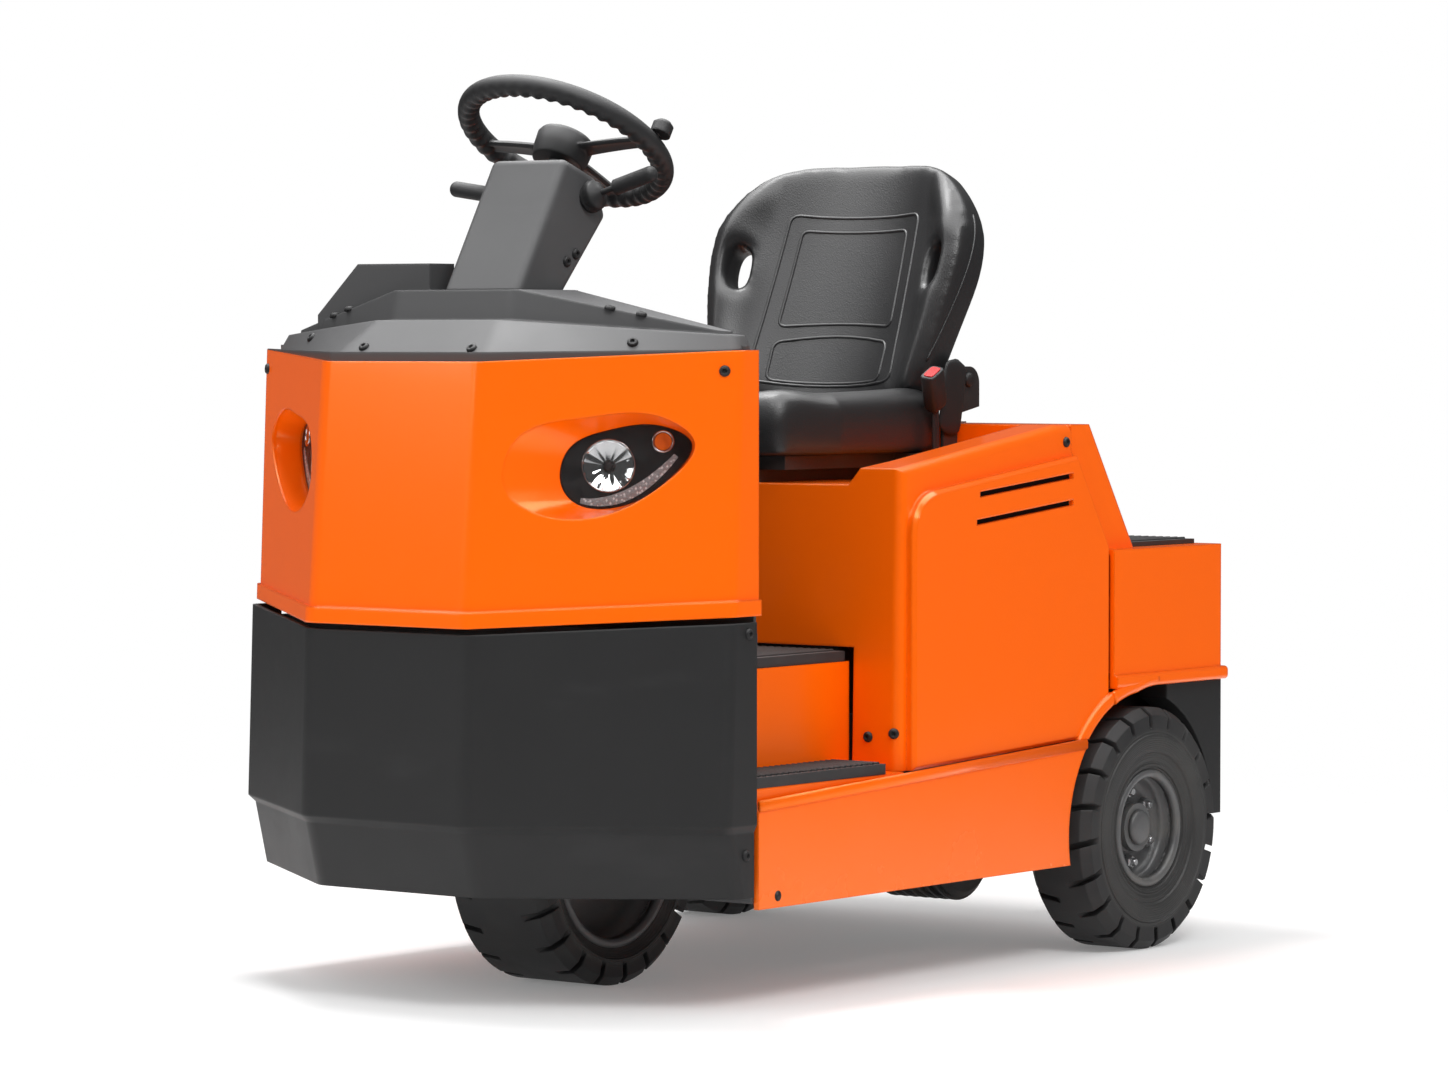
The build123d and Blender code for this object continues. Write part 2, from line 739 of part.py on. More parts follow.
# Chassis: two side plates, cross plates, battery floor and the steering head
crown_top = 2 * wheel_radius + fork_wheel_gap + fork_crown
battery_floor_z = frame_rear_bottom + frame_plate
floor_under = floor_top - floor_sheet
with BuildPart() as chassis_frame:
    extrude(profile_xz(
        (bulkhead_x, frame_bottom), (bulkhead_x, floor_under), (hood_front_x, floor_under),
        (frame_cross_x, frame_top), (frame_rear_x, frame_top), (frame_rear_x, frame_rear_bottom),
        (frame_kick_x - frame_plate, frame_rear_bottom), (frame_kick_x, frame_bottom),
    ), amount=frame_y, both=True)
    block(overall_length / -2, overall_length / 2, frame_plate - frame_y, frame_y - frame_plate,
          0, floor_under, mode=Mode.SUBTRACT)
    block(frame_kick_x, frame_cross_x, -frame_y, frame_y, frame_rear_bottom, battery_floor_z)
    block(frame_cross_x - frame_plate, frame_cross_x, -frame_y, frame_y, frame_bottom, frame_top)
    block(frame_rear_x, frame_rear_x + frame_plate, -frame_y, frame_y, frame_rear_bottom, frame_top)
    block(head_plate_rear_x, bulkhead_x, -frame_y, frame_y, floor_under - frame_plate, floor_under)
    with BuildSketch(Plane.XY.offset(crown_top + running_gap)):
        with Locations((front_axle_x, 0)):
            Circle(head_boss_radius)
    extrude(amount=floor_under - crown_top - running_gap)
    with BuildSketch(Plane.XY.offset(crown_top)):
        with Locations((front_axle_x, 0)):
            Circle(steer_pin_radius + running_gap)
    extrude(amount=steer_pin_height + running_gap, mode=Mode.SUBTRACT)
write(chassis_frame, "chassis_frame")

# Floor tunnel: bent sheet over the steered wheel, and its mat
with BuildPart() as floor_tunnel:
    block(hood_front_x, bulkhead_x, -tunnel_y, tunnel_y, tunnel_bottom, floor_top)
    block(hood_front_x - 1, bulkhead_x + 1, floor_sheet - tunnel_y, tunnel_y - floor_sheet,
          tunnel_bottom - 1, floor_under, mode=Mode.SUBTRACT)
write(floor_tunnel, "floor_tunnel")

with BuildPart() as floor_mat:
    block(hood_front_x + panel_gap, bulkhead_x, mat_edge_gap - tunnel_y, tunnel_y - mat_edge_gap,
          floor_top, floor_top + floor_mat_thick)
write(floor_mat, "floor_mat")


def sill_top(x):
    """Height of the sill's crease, which climbs to the rear."""
    return sill_top_front + sill_rise * (bulkhead_x - x)


# Side sills: a skirt with a rising crease, a step shelf, and a wheel arch behind
with BuildPart() as side_sill_left:
    skirt = profile_xz(
        (bulkhead_x, sill_bottom), (bulkhead_x, sill_top(bulkhead_x)),
        (rear_axle_x, sill_top(rear_axle_x)), (rear_axle_x, sill_bottom),
    )
    extrude(skirt, amount=-sill_y)
    block(rear_axle_x, bulkhead_x, 0, sill_y - sill_sheet, 0, floor_top, mode=Mode.SUBTRACT)
    chamfer(side_sill_left.faces().sort_by(Axis.Y)[-1].edges().sort_by(Axis.Z)[-1], sill_ledge)
    block(hood_front_x + panel_gap, bulkhead_x, tunnel_y, sill_y - sill_sheet,
          step_top - step_sheet, step_top)
    block(hood_front_x + panel_gap, bulkhead_x, sill_y - 2 * sill_sheet, sill_y - sill_sheet,
          sill_top_front - 2 * sill_sheet, step_top)
    with BuildSketch(Plane.XZ):
        with Locations((rear_axle_x, wheel_radius)):
            Circle(arch_radius)
    extrude(amount=-2 * sill_y, mode=Mode.SUBTRACT)

with BuildPart() as step_mat_left:
    block(step_mat_rear_x, bulkhead_x - mat_edge_gap, tunnel_y + mat_edge_gap, sill_y - sill_ledge,
          step_top, step_top + step_mat_thick)

for left_piece, name in ((side_sill_left, "side_sill"), (step_mat_left, "step_mat")):
    write(left_piece, f"{name}_left")
    with BuildPart() as right_piece:
        mirror(left_piece.part, about=Plane.XZ)
    write(right_piece, f"{name}_right")

# Pedals: two tilted plates on arms from the bulkhead
with BuildPart() as pedals:
    for pedal_y in (brake_pedal_y, drive_pedal_y):
        pad = Plane(origin=(pedal_x, pedal_y, pedal_foot_z + pedal_length / 2), x_dir=(0, 1, 0),
                    z_dir=(-math.sin(math.radians(pedal_tilt)), 0, math.cos(math.radians(pedal_tilt))))
        with BuildSketch(pad):
            RectangleRounded(pedal_width, pedal_length, pedal_thick)
        extrude(amount=pedal_thick)
        block(pedal_x, bulkhead_x, pedal_y - pedal_arm, pedal_y + pedal_arm,
              pedal_foot_z + pedal_length / 2 - pedal_arm, pedal_foot_z + pedal_length / 2 + pedal_arm)
write(pedals, "pedals")


def on_shoulder(edge):
    """True for the hood's long upper edges and its front corner edges."""
    middle = edge.center()
    return (middle.Z > shoulder_front_z and middle.X > hood_rear_x) or middle.X > side_panel_front_x


def louvre_slot(z, front_x):
    """Slanted slot profile on the XZ plane."""
    rise = louvre_climb * (front_x - louvre_rear_x)
    return profile_xz((front_x, z), (louvre_rear_x, z + rise), (louvre_rear_x, z + rise + louvre_height),
                      (front_x, z + louvre_height))


# Louvres: two shallow slanted slots to cut in each side of the hood
side_panel_y = hood_half_width + side_panel_proud
with BuildPart() as louvre_cut:
    extrude(louvre_slot(louvre_high_z, louvre_front_x), amount=2 * side_panel_y, both=True)
    extrude(louvre_slot(louvre_low_z, louvre_front_x + louvre_height), amount=2 * side_panel_y, both=True)
    block(tail_end, nose_front, louvre_depth - side_panel_y, side_panel_y - louvre_depth, 0, hub_z,
          mode=Mode.SUBTRACT)


def on_arch_lip(edge):
    """True for the edges of the lip's outer face round a wheel arch."""
    return abs(edge.center().Y) > side_panel_y + arch_lip_proud - running_gap


# Hood: hollow cover with a sunk seat deck, proud louvred side panels and a lipped wheel arch
with BuildPart() as hood:
    extrude(profile_xz(
        (hood_front_x, sill_top(hood_front_x) + panel_gap),
        (hood_front_x - hood_front_lean, shoulder_front_z),
        (seat_deck_rear_x, shoulder_rear_z), (hood_rear_x, shoulder_rear_z),
        (hood_rear_x, split_knee_z), (split_low_x, split_low_z),
        (split_low_x, sill_top(split_low_x) + panel_gap),
    ), amount=hood_half_width, both=True)
    fillet(hood.faces().filter_by(Axis.Y).edges().filter_by(on_shoulder), hood_round)
    with BuildSketch(Plane.XZ):
        with BuildLine():
            FilletPolyline(
                (side_panel_front_x, sill_top(side_panel_front_x) + panel_gap),
                (side_panel_front_x, side_panel_top_z), (hood_rear_x, side_panel_rear_z),
                (split_low_x, split_low_z), (split_low_x, sill_top(split_low_x) + panel_gap),
                radius=[0, side_panel_round, 0, 0, 0], close=True,
            )
        make_face()
    extrude(amount=side_panel_y, both=True)
    chamfer(hood.faces().filter_by(Axis.Y).sort_by(Axis.Y)[0].edges(), side_panel_bevel)
    chamfer(hood.faces().filter_by(Axis.Y).sort_by(Axis.Y)[-1].edges(), side_panel_bevel)
    with BuildSketch(Plane.XZ):
        with Locations((rear_axle_x, wheel_radius)):
            Circle(arch_radius + arch_lip)
        with BuildLine():
            Polyline(
                (split_low_x, sill_top(split_low_x) + panel_gap), (split_low_x, split_low_z),
                (hood_front_x, split_low_z), (hood_front_x, sill_top(hood_front_x) + panel_gap), close=True,
            )
        make_face(mode=Mode.INTERSECT)
    extrude(amount=side_panel_y + arch_lip_proud, both=True)
    extrude(profile_xz(
        (hood_front_x - hood_wall, 0), (hood_front_x - hood_front_lean - hood_wall, seat_deck_z - hood_wall),
        (rear_axle_x, seat_deck_z - hood_wall), (rear_axle_x, 0),
    ), amount=hood_half_width - hood_wall, both=True, mode=Mode.SUBTRACT)
    with BuildSketch(Plane.YZ.offset(seat_deck_rear_x)):
        with BuildLine():
            Polyline(
                (-seat_deck_half_width, seat_deck_z), (seat_deck_half_width, seat_deck_z),
                (seat_deck_half_width + seat_ramp_width, seat_deck_z + seat_ramp_height),
                (seat_deck_half_width + seat_ramp_width, hub_z),
                (-seat_deck_half_width - seat_ramp_width, hub_z),
                (-seat_deck_half_width - seat_ramp_width, seat_deck_z + seat_ramp_height), close=True,
            )
        make_face()
    extrude(amount=overall_length, mode=Mode.SUBTRACT)
    block(frame_cross_x - frame_plate, nose_front, -tunnel_y - panel_gap, tunnel_y + panel_gap,
          0, floor_top + floor_mat_thick + panel_gap, mode=Mode.SUBTRACT)
    with BuildSketch(Plane.XZ):
        with Locations((rear_axle_x, wheel_radius)):
            Circle(arch_radius)
    extrude(amount=nose_front, both=True, mode=Mode.SUBTRACT)
    fillet(hood.edges().filter_by(GeomType.CIRCLE).filter_by(on_arch_lip), arch_lip_round)
    add(louvre_cut.part, mode=Mode.SUBTRACT)
write(hood, "hood")

# Battery: one plain block on the battery floor
with BuildPart() as battery:
    block(battery_rear_x, battery_front_x, -battery_half_width, battery_half_width,
          battery_floor_z, battery_top)
write(battery, "battery")

# Rear body: hollow shell with a sloping back, a flat deck and a deep box below it
rear_split_x = hood_rear_x - panel_gap
rear_box_x = split_low_x - panel_gap


def on_back_slope(edge):
    """True for the upper side edges of the rear body's crest and sloping back."""
    middle = edge.center()
    return middle.X < rear_crest_x + panel_gap and middle.Z > deck_z + rear_round


def on_rear_face(edge):
    """True for the upright corner edges of the rear box."""
    return edge.center().X < rear_face_x + running_gap


def on_box_lip(edge):
    """True for the edges of the lip's outer face along the rear box."""
    return abs(edge.center().Y) > rear_box_y + arch_lip_proud - running_gap


with BuildPart() as rear_body:
    extrude(profile_xz(
        (rear_split_x, shoulder_rear_z), (rear_crest_x, shoulder_rear_z), (deck_front_x, deck_z),
        (rear_box_x, deck_z), (rear_box_x, split_low_z), (rear_split_x, split_knee_z),
    ), amount=rear_hood_y, both=True)
    fillet(rear_body.faces().filter_by(Axis.Y).edges().filter_by(on_back_slope), rear_round)
    block(rear_face_x, rear_box_x, -rear_box_y, rear_box_y, arch_lip_z, deck_z)
    fillet(rear_body.edges().filter_by(Axis.Z).filter_by(on_rear_face), rear_round)
    block(rear_face_x, rear_box_x, -rear_box_y - arch_lip_proud, rear_box_y + arch_lip_proud,
          arch_lip_z, arch_lip_z + arch_lip)
    fillet(rear_body.edges().filter_by(Axis.X).filter_by(on_box_lip), arch_lip_round)
    extrude(profile_xz(
        (rear_split_x + rear_wall, shoulder_rear_z - rear_wall),
        (rear_crest_x + rear_wall / 2, shoulder_rear_z - rear_wall),
        (deck_front_x + rear_wall, deck_z - rear_wall), (rear_split_x + rear_wall, deck_z - rear_wall),
    ), amount=rear_hood_y - rear_wall, both=True, mode=Mode.SUBTRACT)
    block(rear_face_x + rear_wall, rear_split_x, rear_wall - rear_box_y, rear_box_y - rear_wall,
          0, deck_z - rear_wall, mode=Mode.SUBTRACT)
write(rear_body, "rear_body")

with BuildPart() as deck_mat:
    block(rear_face_x + deck_mat_margin, deck_front_x - deck_mat_margin / 2,
          deck_mat_margin - rear_hood_y, rear_hood_y - deck_mat_margin, deck_z, deck_z + deck_mat_thick)
write(deck_mat, "deck_mat")

with BuildPart() as tail_lamps:
    with BuildSketch(Plane.YZ.offset(rear_face_x)):
        with Locations((tail_lamp_y, tail_lamp_z), (-tail_lamp_y, tail_lamp_z)):
            Circle(tail_lamp_radius)
    extrude(amount=-tail_lamp_depth)
    chamfer(tail_lamps.faces().group_by(Axis.X)[0].edges(), tail_lamp_depth / 3)
write(tail_lamps, "tail_lamps")

# Rear bumper: a cross panel with two mudguard wings that follow the wheels
with BuildPart() as rear_bumper:
    block(rear_face_x, mudguard_front_x, -rear_box_y + panel_gap, rear_box_y - panel_gap,
          mudguard_bottom, arch_lip_z)
    block(rear_face_x + mudguard_wall, 0, mudguard_width - rear_box_y, rear_box_y - mudguard_width,
          0, floor_top, mode=Mode.SUBTRACT)
    with BuildSketch(Plane.XZ):
        with Locations((rear_axle_x, wheel_radius)):
            Circle(arch_radius)
    extrude(amount=nose_front, both=True, mode=Mode.SUBTRACT)
write(rear_bumper, "rear_bumper")

# Tow coupling: flange with three drilled jaws at different heights
flange_face_x = rear_face_x - coupling_plate
with BuildPart() as tow_coupling:
    flange_top = coupling_low_z + coupling_pitch * (coupling_jaws - 1) + coupling_plate + coupling_margin
    block(flange_face_x, rear_face_x, -coupling_flange_half, coupling_flange_half,
          coupling_low_z - coupling_margin, flange_top)
    for jaw in range(coupling_jaws):
        with BuildSketch(Plane.XY.offset(coupling_low_z + jaw * coupling_pitch)):
            with BuildLine():
                FilletPolyline(
                    (flange_face_x, -coupling_half_width), (tail_end, -coupling_half_width),
                    (tail_end, coupling_half_width), (flange_face_x, coupling_half_width),
                    radius=[0, coupling_half_width - coupling_bore, coupling_half_width - coupling_bore, 0],
                    close=True,
                )
            make_face()
            with Locations((tail_end + coupling_bore_back, 0)):
                Circle(coupling_bore, mode=Mode.SUBTRACT)
        extrude(amount=coupling_plate)
write(tow_coupling, "tow_coupling")

# Hood hinges: fixed leaves with outer knuckles and pins, and hood leaves with one knuckle
hinge_x = (hood_rear_x + rear_split_x) / 2
hinge_z = shoulder_rear_z + hinge_radius + running_gap


def knuckle(y0, y1, radius, mode=Mode.ADD):
    """Cylinder on the hinge axis between two stations across the vehicle."""
    with BuildSketch(Plane.XZ.offset(-y0)) as ring:
        with Locations((hinge_x, hinge_z)):
            Circle(radius)
    extrude(ring.sketch, amount=y0 - y1, mode=mode)


with BuildPart() as hinge_fixed:
    for middle in (hinge_y, -hinge_y):
        low = middle - hinge_knuckle / 2
        high = middle + hinge_knuckle / 2
        knuckle(low - hinge_knuckle, low - running_gap, hinge_radius)
        knuckle(high + running_gap, high + hinge_knuckle, hinge_radius)
        block(hinge_x - hinge_leaf, hinge_x, low - hinge_knuckle, low - running_gap,
              shoulder_rear_z, shoulder_rear_z + hinge_leaf_thick)
        block(hinge_x - hinge_leaf, hinge_x, high + running_gap, high + hinge_knuckle,
              shoulder_rear_z, shoulder_rear_z + hinge_leaf_thick)
        knuckle(low - hinge_knuckle, high + hinge_knuckle, hinge_pin_radius)
    block(hinge_x, hood_front_x, -hood_half_width, hood_half_width, 0, shoulder_rear_z + running_gap / 2,
          mode=Mode.SUBTRACT)
write(hinge_fixed, "hinge_fixed")

with BuildPart() as hinge_hood:
    for middle in (hinge_y, -hinge_y):
        low = middle - hinge_knuckle / 2
        high = middle + hinge_knuckle / 2
        knuckle(low, high, hinge_radius)
        block(hinge_x, hinge_x + hinge_leaf, low, high, shoulder_rear_z, shoulder_rear_z + hinge_leaf_thick)
        knuckle(low, high, hinge_pin_radius + running_gap, mode=Mode.SUBTRACT)
write(hinge_hood, "hinge_hood")

# Seat: pan on two slide rails, cushion, leaning backrest, side brackets and belt buckle
with BuildPart() as seat_base:
    pan_top = cushion_bottom - running_gap
    bracket = profile_xz(
        (bracket_front_x, pan_top - seat_pan_thick), (bracket_front_x, pan_top), (cushion_rear_x, pan_top),
        (cushion_rear_x, back_foot_z), (bracket_mid_x, bracket_top), (bracket_rear_x, bracket_top),
        (bracket_rear_x, back_foot_z + panel_gap), (bracket_mid_x, back_foot_z - panel_gap),
        (bracket_mid_x, pan_top - seat_pan_thick),
    )
    plate = seat_half_width + running_gap
    extrude(bracket, amount=plate + bracket_thick, both=True)
    fillet(seat_base.edges().filter_by(Axis.Y).group_by(Axis.Z)[-1], bracket_round)
    block(-nose_front, nose_front, -plate, plate, pan_top, hub_z, mode=Mode.SUBTRACT)
    block(-nose_front, bracket_front_x - seat_rail_width, -plate, plate, 0, hub_z, mode=Mode.SUBTRACT)
    block(seat_deck_rear_x + panel_gap, cushion_front_x - 2 * cushion_round, -seat_pan_half_width,
          seat_pan_half_width, pan_top - seat_pan_thick, pan_top)
    for rail_y in (seat_rail_y, -seat_rail_y):
        block(seat_deck_rear_x + 2 * panel_gap, hood_front_x - 2 * hood_front_lean,
              rail_y - seat_rail_width / 2, rail_y + seat_rail_width / 2,
              seat_deck_z, pan_top - seat_pan_thick)
write(seat_base, "seat_base")

with BuildPart() as seat_cushion:
    block(cushion_rear_x, cushion_front_x, -seat_half_width, seat_half_width, cushion_bottom, cushion_top)
    fillet(seat_cushion.edges().filter_by(Axis.Z), cushion_round)
    fillet(seat_cushion.faces().sort_by(Axis.Z)[-1].edges(), cushion_round)
write(seat_cushion, "seat_cushion")

back_tilt = math.radians(back_lean)
back_plane = Plane(origin=(back_foot_x, 0, back_foot_z), x_dir=(0, 1, 0),
                   z_dir=(math.cos(back_tilt), 0, math.sin(back_tilt)))
with BuildPart() as seat_back:
    with BuildSketch(Plane(origin=back_plane.origin, x_dir=(0, 1, 0), z_dir=back_plane.y_dir)):
        with BuildLine():
            ThreePointArc((-back_section_half, -back_wrap), (0, 0), (back_section_half, -back_wrap))
            Line((back_section_half, -back_wrap), (back_section_half, back_thick - back_wrap))
            ThreePointArc((back_section_half, back_thick - back_wrap), (0, back_thick),
                          (-back_section_half, back_thick - back_wrap))
            Line((-back_section_half, back_thick - back_wrap), (-back_section_half, -back_wrap))
        make_face()
    extrude(amount=back_height, both=True)
    with BuildSketch(back_plane):
        with BuildLine():
            FilletPolyline(
                (-back_foot_half, 0), (-back_wide_half, back_wide_low), (-back_wide_half, back_height),
                (back_wide_half, back_height), (back_wide_half, back_wide_low), (back_foot_half, 0),
                radius=[back_low_round, back_low_round, back_top_round, back_top_round, back_low_round,
                        back_low_round], close=True,
            )
        make_face()
        with Locations((hand_hole_u, hand_hole_v), (-hand_hole_u, hand_hole_v)):
            SlotOverall(hand_hole_height, hand_hole_width, rotation=90, mode=Mode.SUBTRACT)
    extrude(amount=2 * back_thick, both=True, mode=Mode.INTERSECT)
    block(-nose_front, nose_front, -nose_front, nose_front, 0, back_foot_z, mode=Mode.SUBTRACT)
    block(cushion_rear_x - running_gap, nose_front, -nose_front, nose_front, 0, cushion_top + running_gap,
          mode=Mode.SUBTRACT)
write(seat_back, "seat_back")

with BuildPart() as seat_buckle:
    stalk_y = plate + bracket_thick + running_gap
    block(buckle_x - buckle_half / 2, buckle_x + buckle_half / 2, stalk_y, stalk_y + bracket_thick,
          pan_top - seat_pan_thick, buckle_z)
    block(buckle_x - buckle_half, buckle_x + buckle_half, stalk_y, stalk_y + buckle_thick,
          buckle_z, buckle_z + buckle_height)
write(seat_buckle, "seat_buckle")


def across(y0, y1, x, z, radius, mode=Mode.ADD):
    """Round bar across the vehicle between two stations."""
    with BuildSketch(Plane.XZ.offset(-y0)) as ring:
        with Locations((x, z)):
            Circle(radius)
    extrude(ring.sketch, amount=y0 - y1, mode=mode)


# Drive axle with brake drums and gear case, and the motor beside it
rear_wheel_y = rear_wheel_face - rear_tyre_width / 2
drum_outer_y = drum_inner_y + drum_width
with BuildPart() as drive_axle:
    across(-drum_inner_y, drum_inner_y, rear_axle_x, wheel_radius, axle_radius)
    for side in (1, -1):
        across(*sorted((side * drum_inner_y, side * drum_outer_y)), rear_axle_x, wheel_radius, drum_radius)
        across(*sorted((side * drum_outer_y, side * (rear_wheel_y + hub_outer - rim_disc))),
               rear_axle_x, wheel_radius, axle_stub_radius)
        saddle = sorted((side * (frame_y - frame_plate), side * frame_y))
        block(rear_axle_x - saddle_half, rear_axle_x + saddle_half, saddle[0], saddle[1],
              wheel_radius, frame_rear_bottom)
    across(gear_case_right_y, gear_case_left_y, rear_axle_x, wheel_radius, gear_case_radius)
    across(gear_case_right_y, gear_case_left_y, motor_x, motor_z, gear_case_radius)
    block(rear_axle_x, motor_x, gear_case_right_y, gear_case_left_y, motor_z - gear_case_radius / 2,
          wheel_radius + axle_radius)
write(drive_axle, "drive_axle")

with BuildPart() as drive_motor:
    across(gear_case_left_y, motor_end_y, motor_x, motor_z, motor_radius)
    chamfer(drive_motor.faces().sort_by(Axis.Y)[-1].edges(), motor_edge)
write(drive_motor, "drive_motor")

# Steering fork: crown with its pin, two arms and the front axle
fork_inner_y = front_tyre_width / 2 + fork_gap
with BuildPart() as steer_fork:
    crown_low = crown_top - fork_crown
    block(front_axle_x - fork_crown_half, front_axle_x + fork_crown_half, -fork_inner_y - fork_arm,
          fork_inner_y + fork_arm, crown_low, crown_top)
    with BuildSketch(Plane.XY.offset(crown_top)):
        with Locations((front_axle_x, 0)):
            Circle(steer_pin_radius)
    extrude(amount=steer_pin_height)
    with BuildSketch(Plane.XZ.offset(-fork_inner_y - fork_arm)) as arm:
        with BuildLine():
            Polyline(
                (front_axle_x - fork_crown_half, crown_low), (front_axle_x + fork_crown_half, crown_low),
                (front_axle_x + fork_arm_half, wheel_radius), (front_axle_x - fork_arm_half, wheel_radius),
                close=True,
            )
        make_face()
        with Locations((front_axle_x, wheel_radius)):
            Circle(fork_arm_half)
    extrude(amount=fork_arm)
    extrude(mirror(arm.sketch, about=Plane.XZ, mode=Mode.PRIVATE), amount=-fork_arm, dir=(0, -1, 0))
    across(-fork_inner_y, fork_inner_y, front_axle_x, wheel_radius, front_axle_radius)
write(steer_fork, "steer_fork")


def wheel_section(x, y, *points):
    """Closed area in the plane through a wheel's axis, as stations across and radii."""
    with BuildSketch(Plane(origin=(x, y, wheel_radius), x_dir=(0, 1, 0), z_dir=(1, 0, 0))) as area:
        with BuildLine():
            Polyline(*points, close=True)
        make_face()
    return area.sketch


# Wheels: a tyre and a dished rim each; out is +1 or -1 for the face that shows. The gaps between the
# lugs lean down the side walls, and the two sides are half a pitch apart.
quarter_pitch = 90 / lug_count
for name, axle_x, wheel_y, width, bead_radius, bore, out in (
    ("front", front_axle_x, 0.0, front_tyre_width, front_bead_radius, front_axle_radius, 1),
    ("rear_left", rear_axle_x, rear_wheel_y, rear_tyre_width, rear_bead_radius, axle_stub_radius, 1),
    ("rear_right", rear_axle_x, -rear_wheel_y, rear_tyre_width, rear_bead_radius, axle_stub_radius, -1),
):
    half = width / 2
    spin = Axis((axle_x, 0, wheel_radius), (0, 1, 0))
    with BuildPart() as tyre:
        revolve(wheel_section(
            axle_x, wheel_y,
            (-half + tyre_shoulder, bead_radius), (half - tyre_shoulder, bead_radius),
            (half - sidewall_dip, bead_radius + tyre_shoulder), (half, wheel_radius - 3 * tyre_shoulder),
            (half, wheel_radius - tyre_shoulder), (half - tyre_shoulder, wheel_radius),
            (-half + tyre_shoulder, wheel_radius), (-half, wheel_radius - tyre_shoulder),
            (-half, wheel_radius - 3 * tyre_shoulder), (-half + sidewall_dip, bead_radius + tyre_shoulder),
        ), axis=spin)
        for side in (1, -1):
            shoulder = Plane(origin=(axle_x, wheel_y + side * (half - lug_reach / 2), wheel_radius),
                             x_dir=(1, 0, 0), z_dir=(0, 1, 0))
            with Locations(shoulder):
                with PolarLocations(wheel_radius, lug_count, start_angle=side * quarter_pitch):
                    Box(2 * lug_depth, lug_gap, 2 * lug_reach,
                        rotation=(side * lug_slant, -side * lug_tilt, 0), mode=Mode.SUBTRACT)
    write(tyre, f"{name}_tyre")
    seat_radius = bead_radius - running_gap
    with BuildPart() as rim:
        revolve(wheel_section(
            axle_x, wheel_y,
            (-half + tyre_shoulder, seat_radius), (half - tyre_shoulder, seat_radius),
            (half - tyre_shoulder, seat_radius - rim_lip), (-half + tyre_shoulder, seat_radius - rim_lip),
        ), axis=spin)
        revolve(wheel_section(
            axle_x, wheel_y,
            (-rim_disc / 2, seat_radius - rim_lip / 2), (rim_disc / 2, seat_radius - rim_lip / 2),
            (rim_disc / 2, bore + running_gap), (-rim_disc / 2, bore + running_gap),
        ), axis=spin)
        revolve(wheel_section(
            axle_x, wheel_y,
            (-out * hub_inner, hub_boss_radius), (out * hub_outer, hub_boss_radius),
            (out * hub_outer, bore + running_gap), (-out * hub_inner, bore + running_gap),
        ), axis=spin)
    write(rim, f"{name}_rim")
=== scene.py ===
"""Looks of the ride-on tow tractor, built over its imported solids, in metres."""
import math

import bmesh
import bpy
import numpy as np
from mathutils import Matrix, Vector
from mathutils.bvhtree import BVHTree


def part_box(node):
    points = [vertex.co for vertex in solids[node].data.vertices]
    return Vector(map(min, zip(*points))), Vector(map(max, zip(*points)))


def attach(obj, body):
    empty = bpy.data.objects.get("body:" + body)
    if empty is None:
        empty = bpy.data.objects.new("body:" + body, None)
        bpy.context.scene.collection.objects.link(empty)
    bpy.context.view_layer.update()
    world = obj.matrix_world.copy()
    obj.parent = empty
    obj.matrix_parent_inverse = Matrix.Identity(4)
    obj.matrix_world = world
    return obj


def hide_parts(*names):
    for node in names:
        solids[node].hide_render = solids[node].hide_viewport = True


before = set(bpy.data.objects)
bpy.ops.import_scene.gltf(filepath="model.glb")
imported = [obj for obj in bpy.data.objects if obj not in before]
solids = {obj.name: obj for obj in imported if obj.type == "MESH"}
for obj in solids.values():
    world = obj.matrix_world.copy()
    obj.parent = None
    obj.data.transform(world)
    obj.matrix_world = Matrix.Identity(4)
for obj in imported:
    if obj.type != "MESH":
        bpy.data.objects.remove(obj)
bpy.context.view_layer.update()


# Chassis, fork, axle, motor, seat pan, battery case and coupling: welded plate and castings.
# They are bolted and welded together under satin black paint, and road dust lies thicker low down.
class Wire:
    """One shader socket. Operators add Math nodes, and put() adds any other node."""

    def __init__(self, tree, socket=None):
        self.tree = tree
        self.socket = socket

    def put(self, kind, settings, sockets, out=0):
        """Add a node: its settings first, then the values or wires of its sockets. Returns one output."""
        node = self.tree.nodes.new(kind)
        for name, value in settings.items():
            setattr(node, name, value)
        for name, value in sockets.items():
            if isinstance(value, Wire):
                self.tree.links.new(value.socket, node.inputs[name])
            else:
                node.inputs[name].default_value = value
        return Wire(self.tree, node.outputs[out])

    def calc(self, operation, *values):
        """One Math node on wires or numbers."""
        return self.put("ShaderNodeMath", {"operation": operation}, dict(enumerate(values)))

    def __add__(self, other):
        return self.calc("ADD", self, other)

    def __radd__(self, other):
        return self.calc("ADD", other, self)

    def __sub__(self, other):
        return self.calc("SUBTRACT", self, other)

    def __rsub__(self, other):
        return self.calc("SUBTRACT", other, self)

    def __mul__(self, other):
        return self.calc("MULTIPLY", self, other)

    def __rmul__(self, other):
        return self.calc("MULTIPLY", other, self)

    def rising(self, low, high):
        """0 below low, 1 above high, and a smooth step between."""
        return self.put("ShaderNodeMapRange", {"interpolation_type": "SMOOTHSTEP"},
                        {"Value": self, "From Min": low, "From Max": high}, "Result")

    def tint(self, colour_off, colour_on):
        """Mix of two colours with this wire as the share of the second."""
        return self.put("ShaderNodeMix", {"data_type": "RGBA"}, {0: self, 6: colour_off, 7: colour_on}, 2)

    def into(self, socket):
        """Feed this wire to a socket of the material's shader."""
        self.tree.links.new(self.socket, self.tree.nodes["Principled BSDF"].inputs[socket])


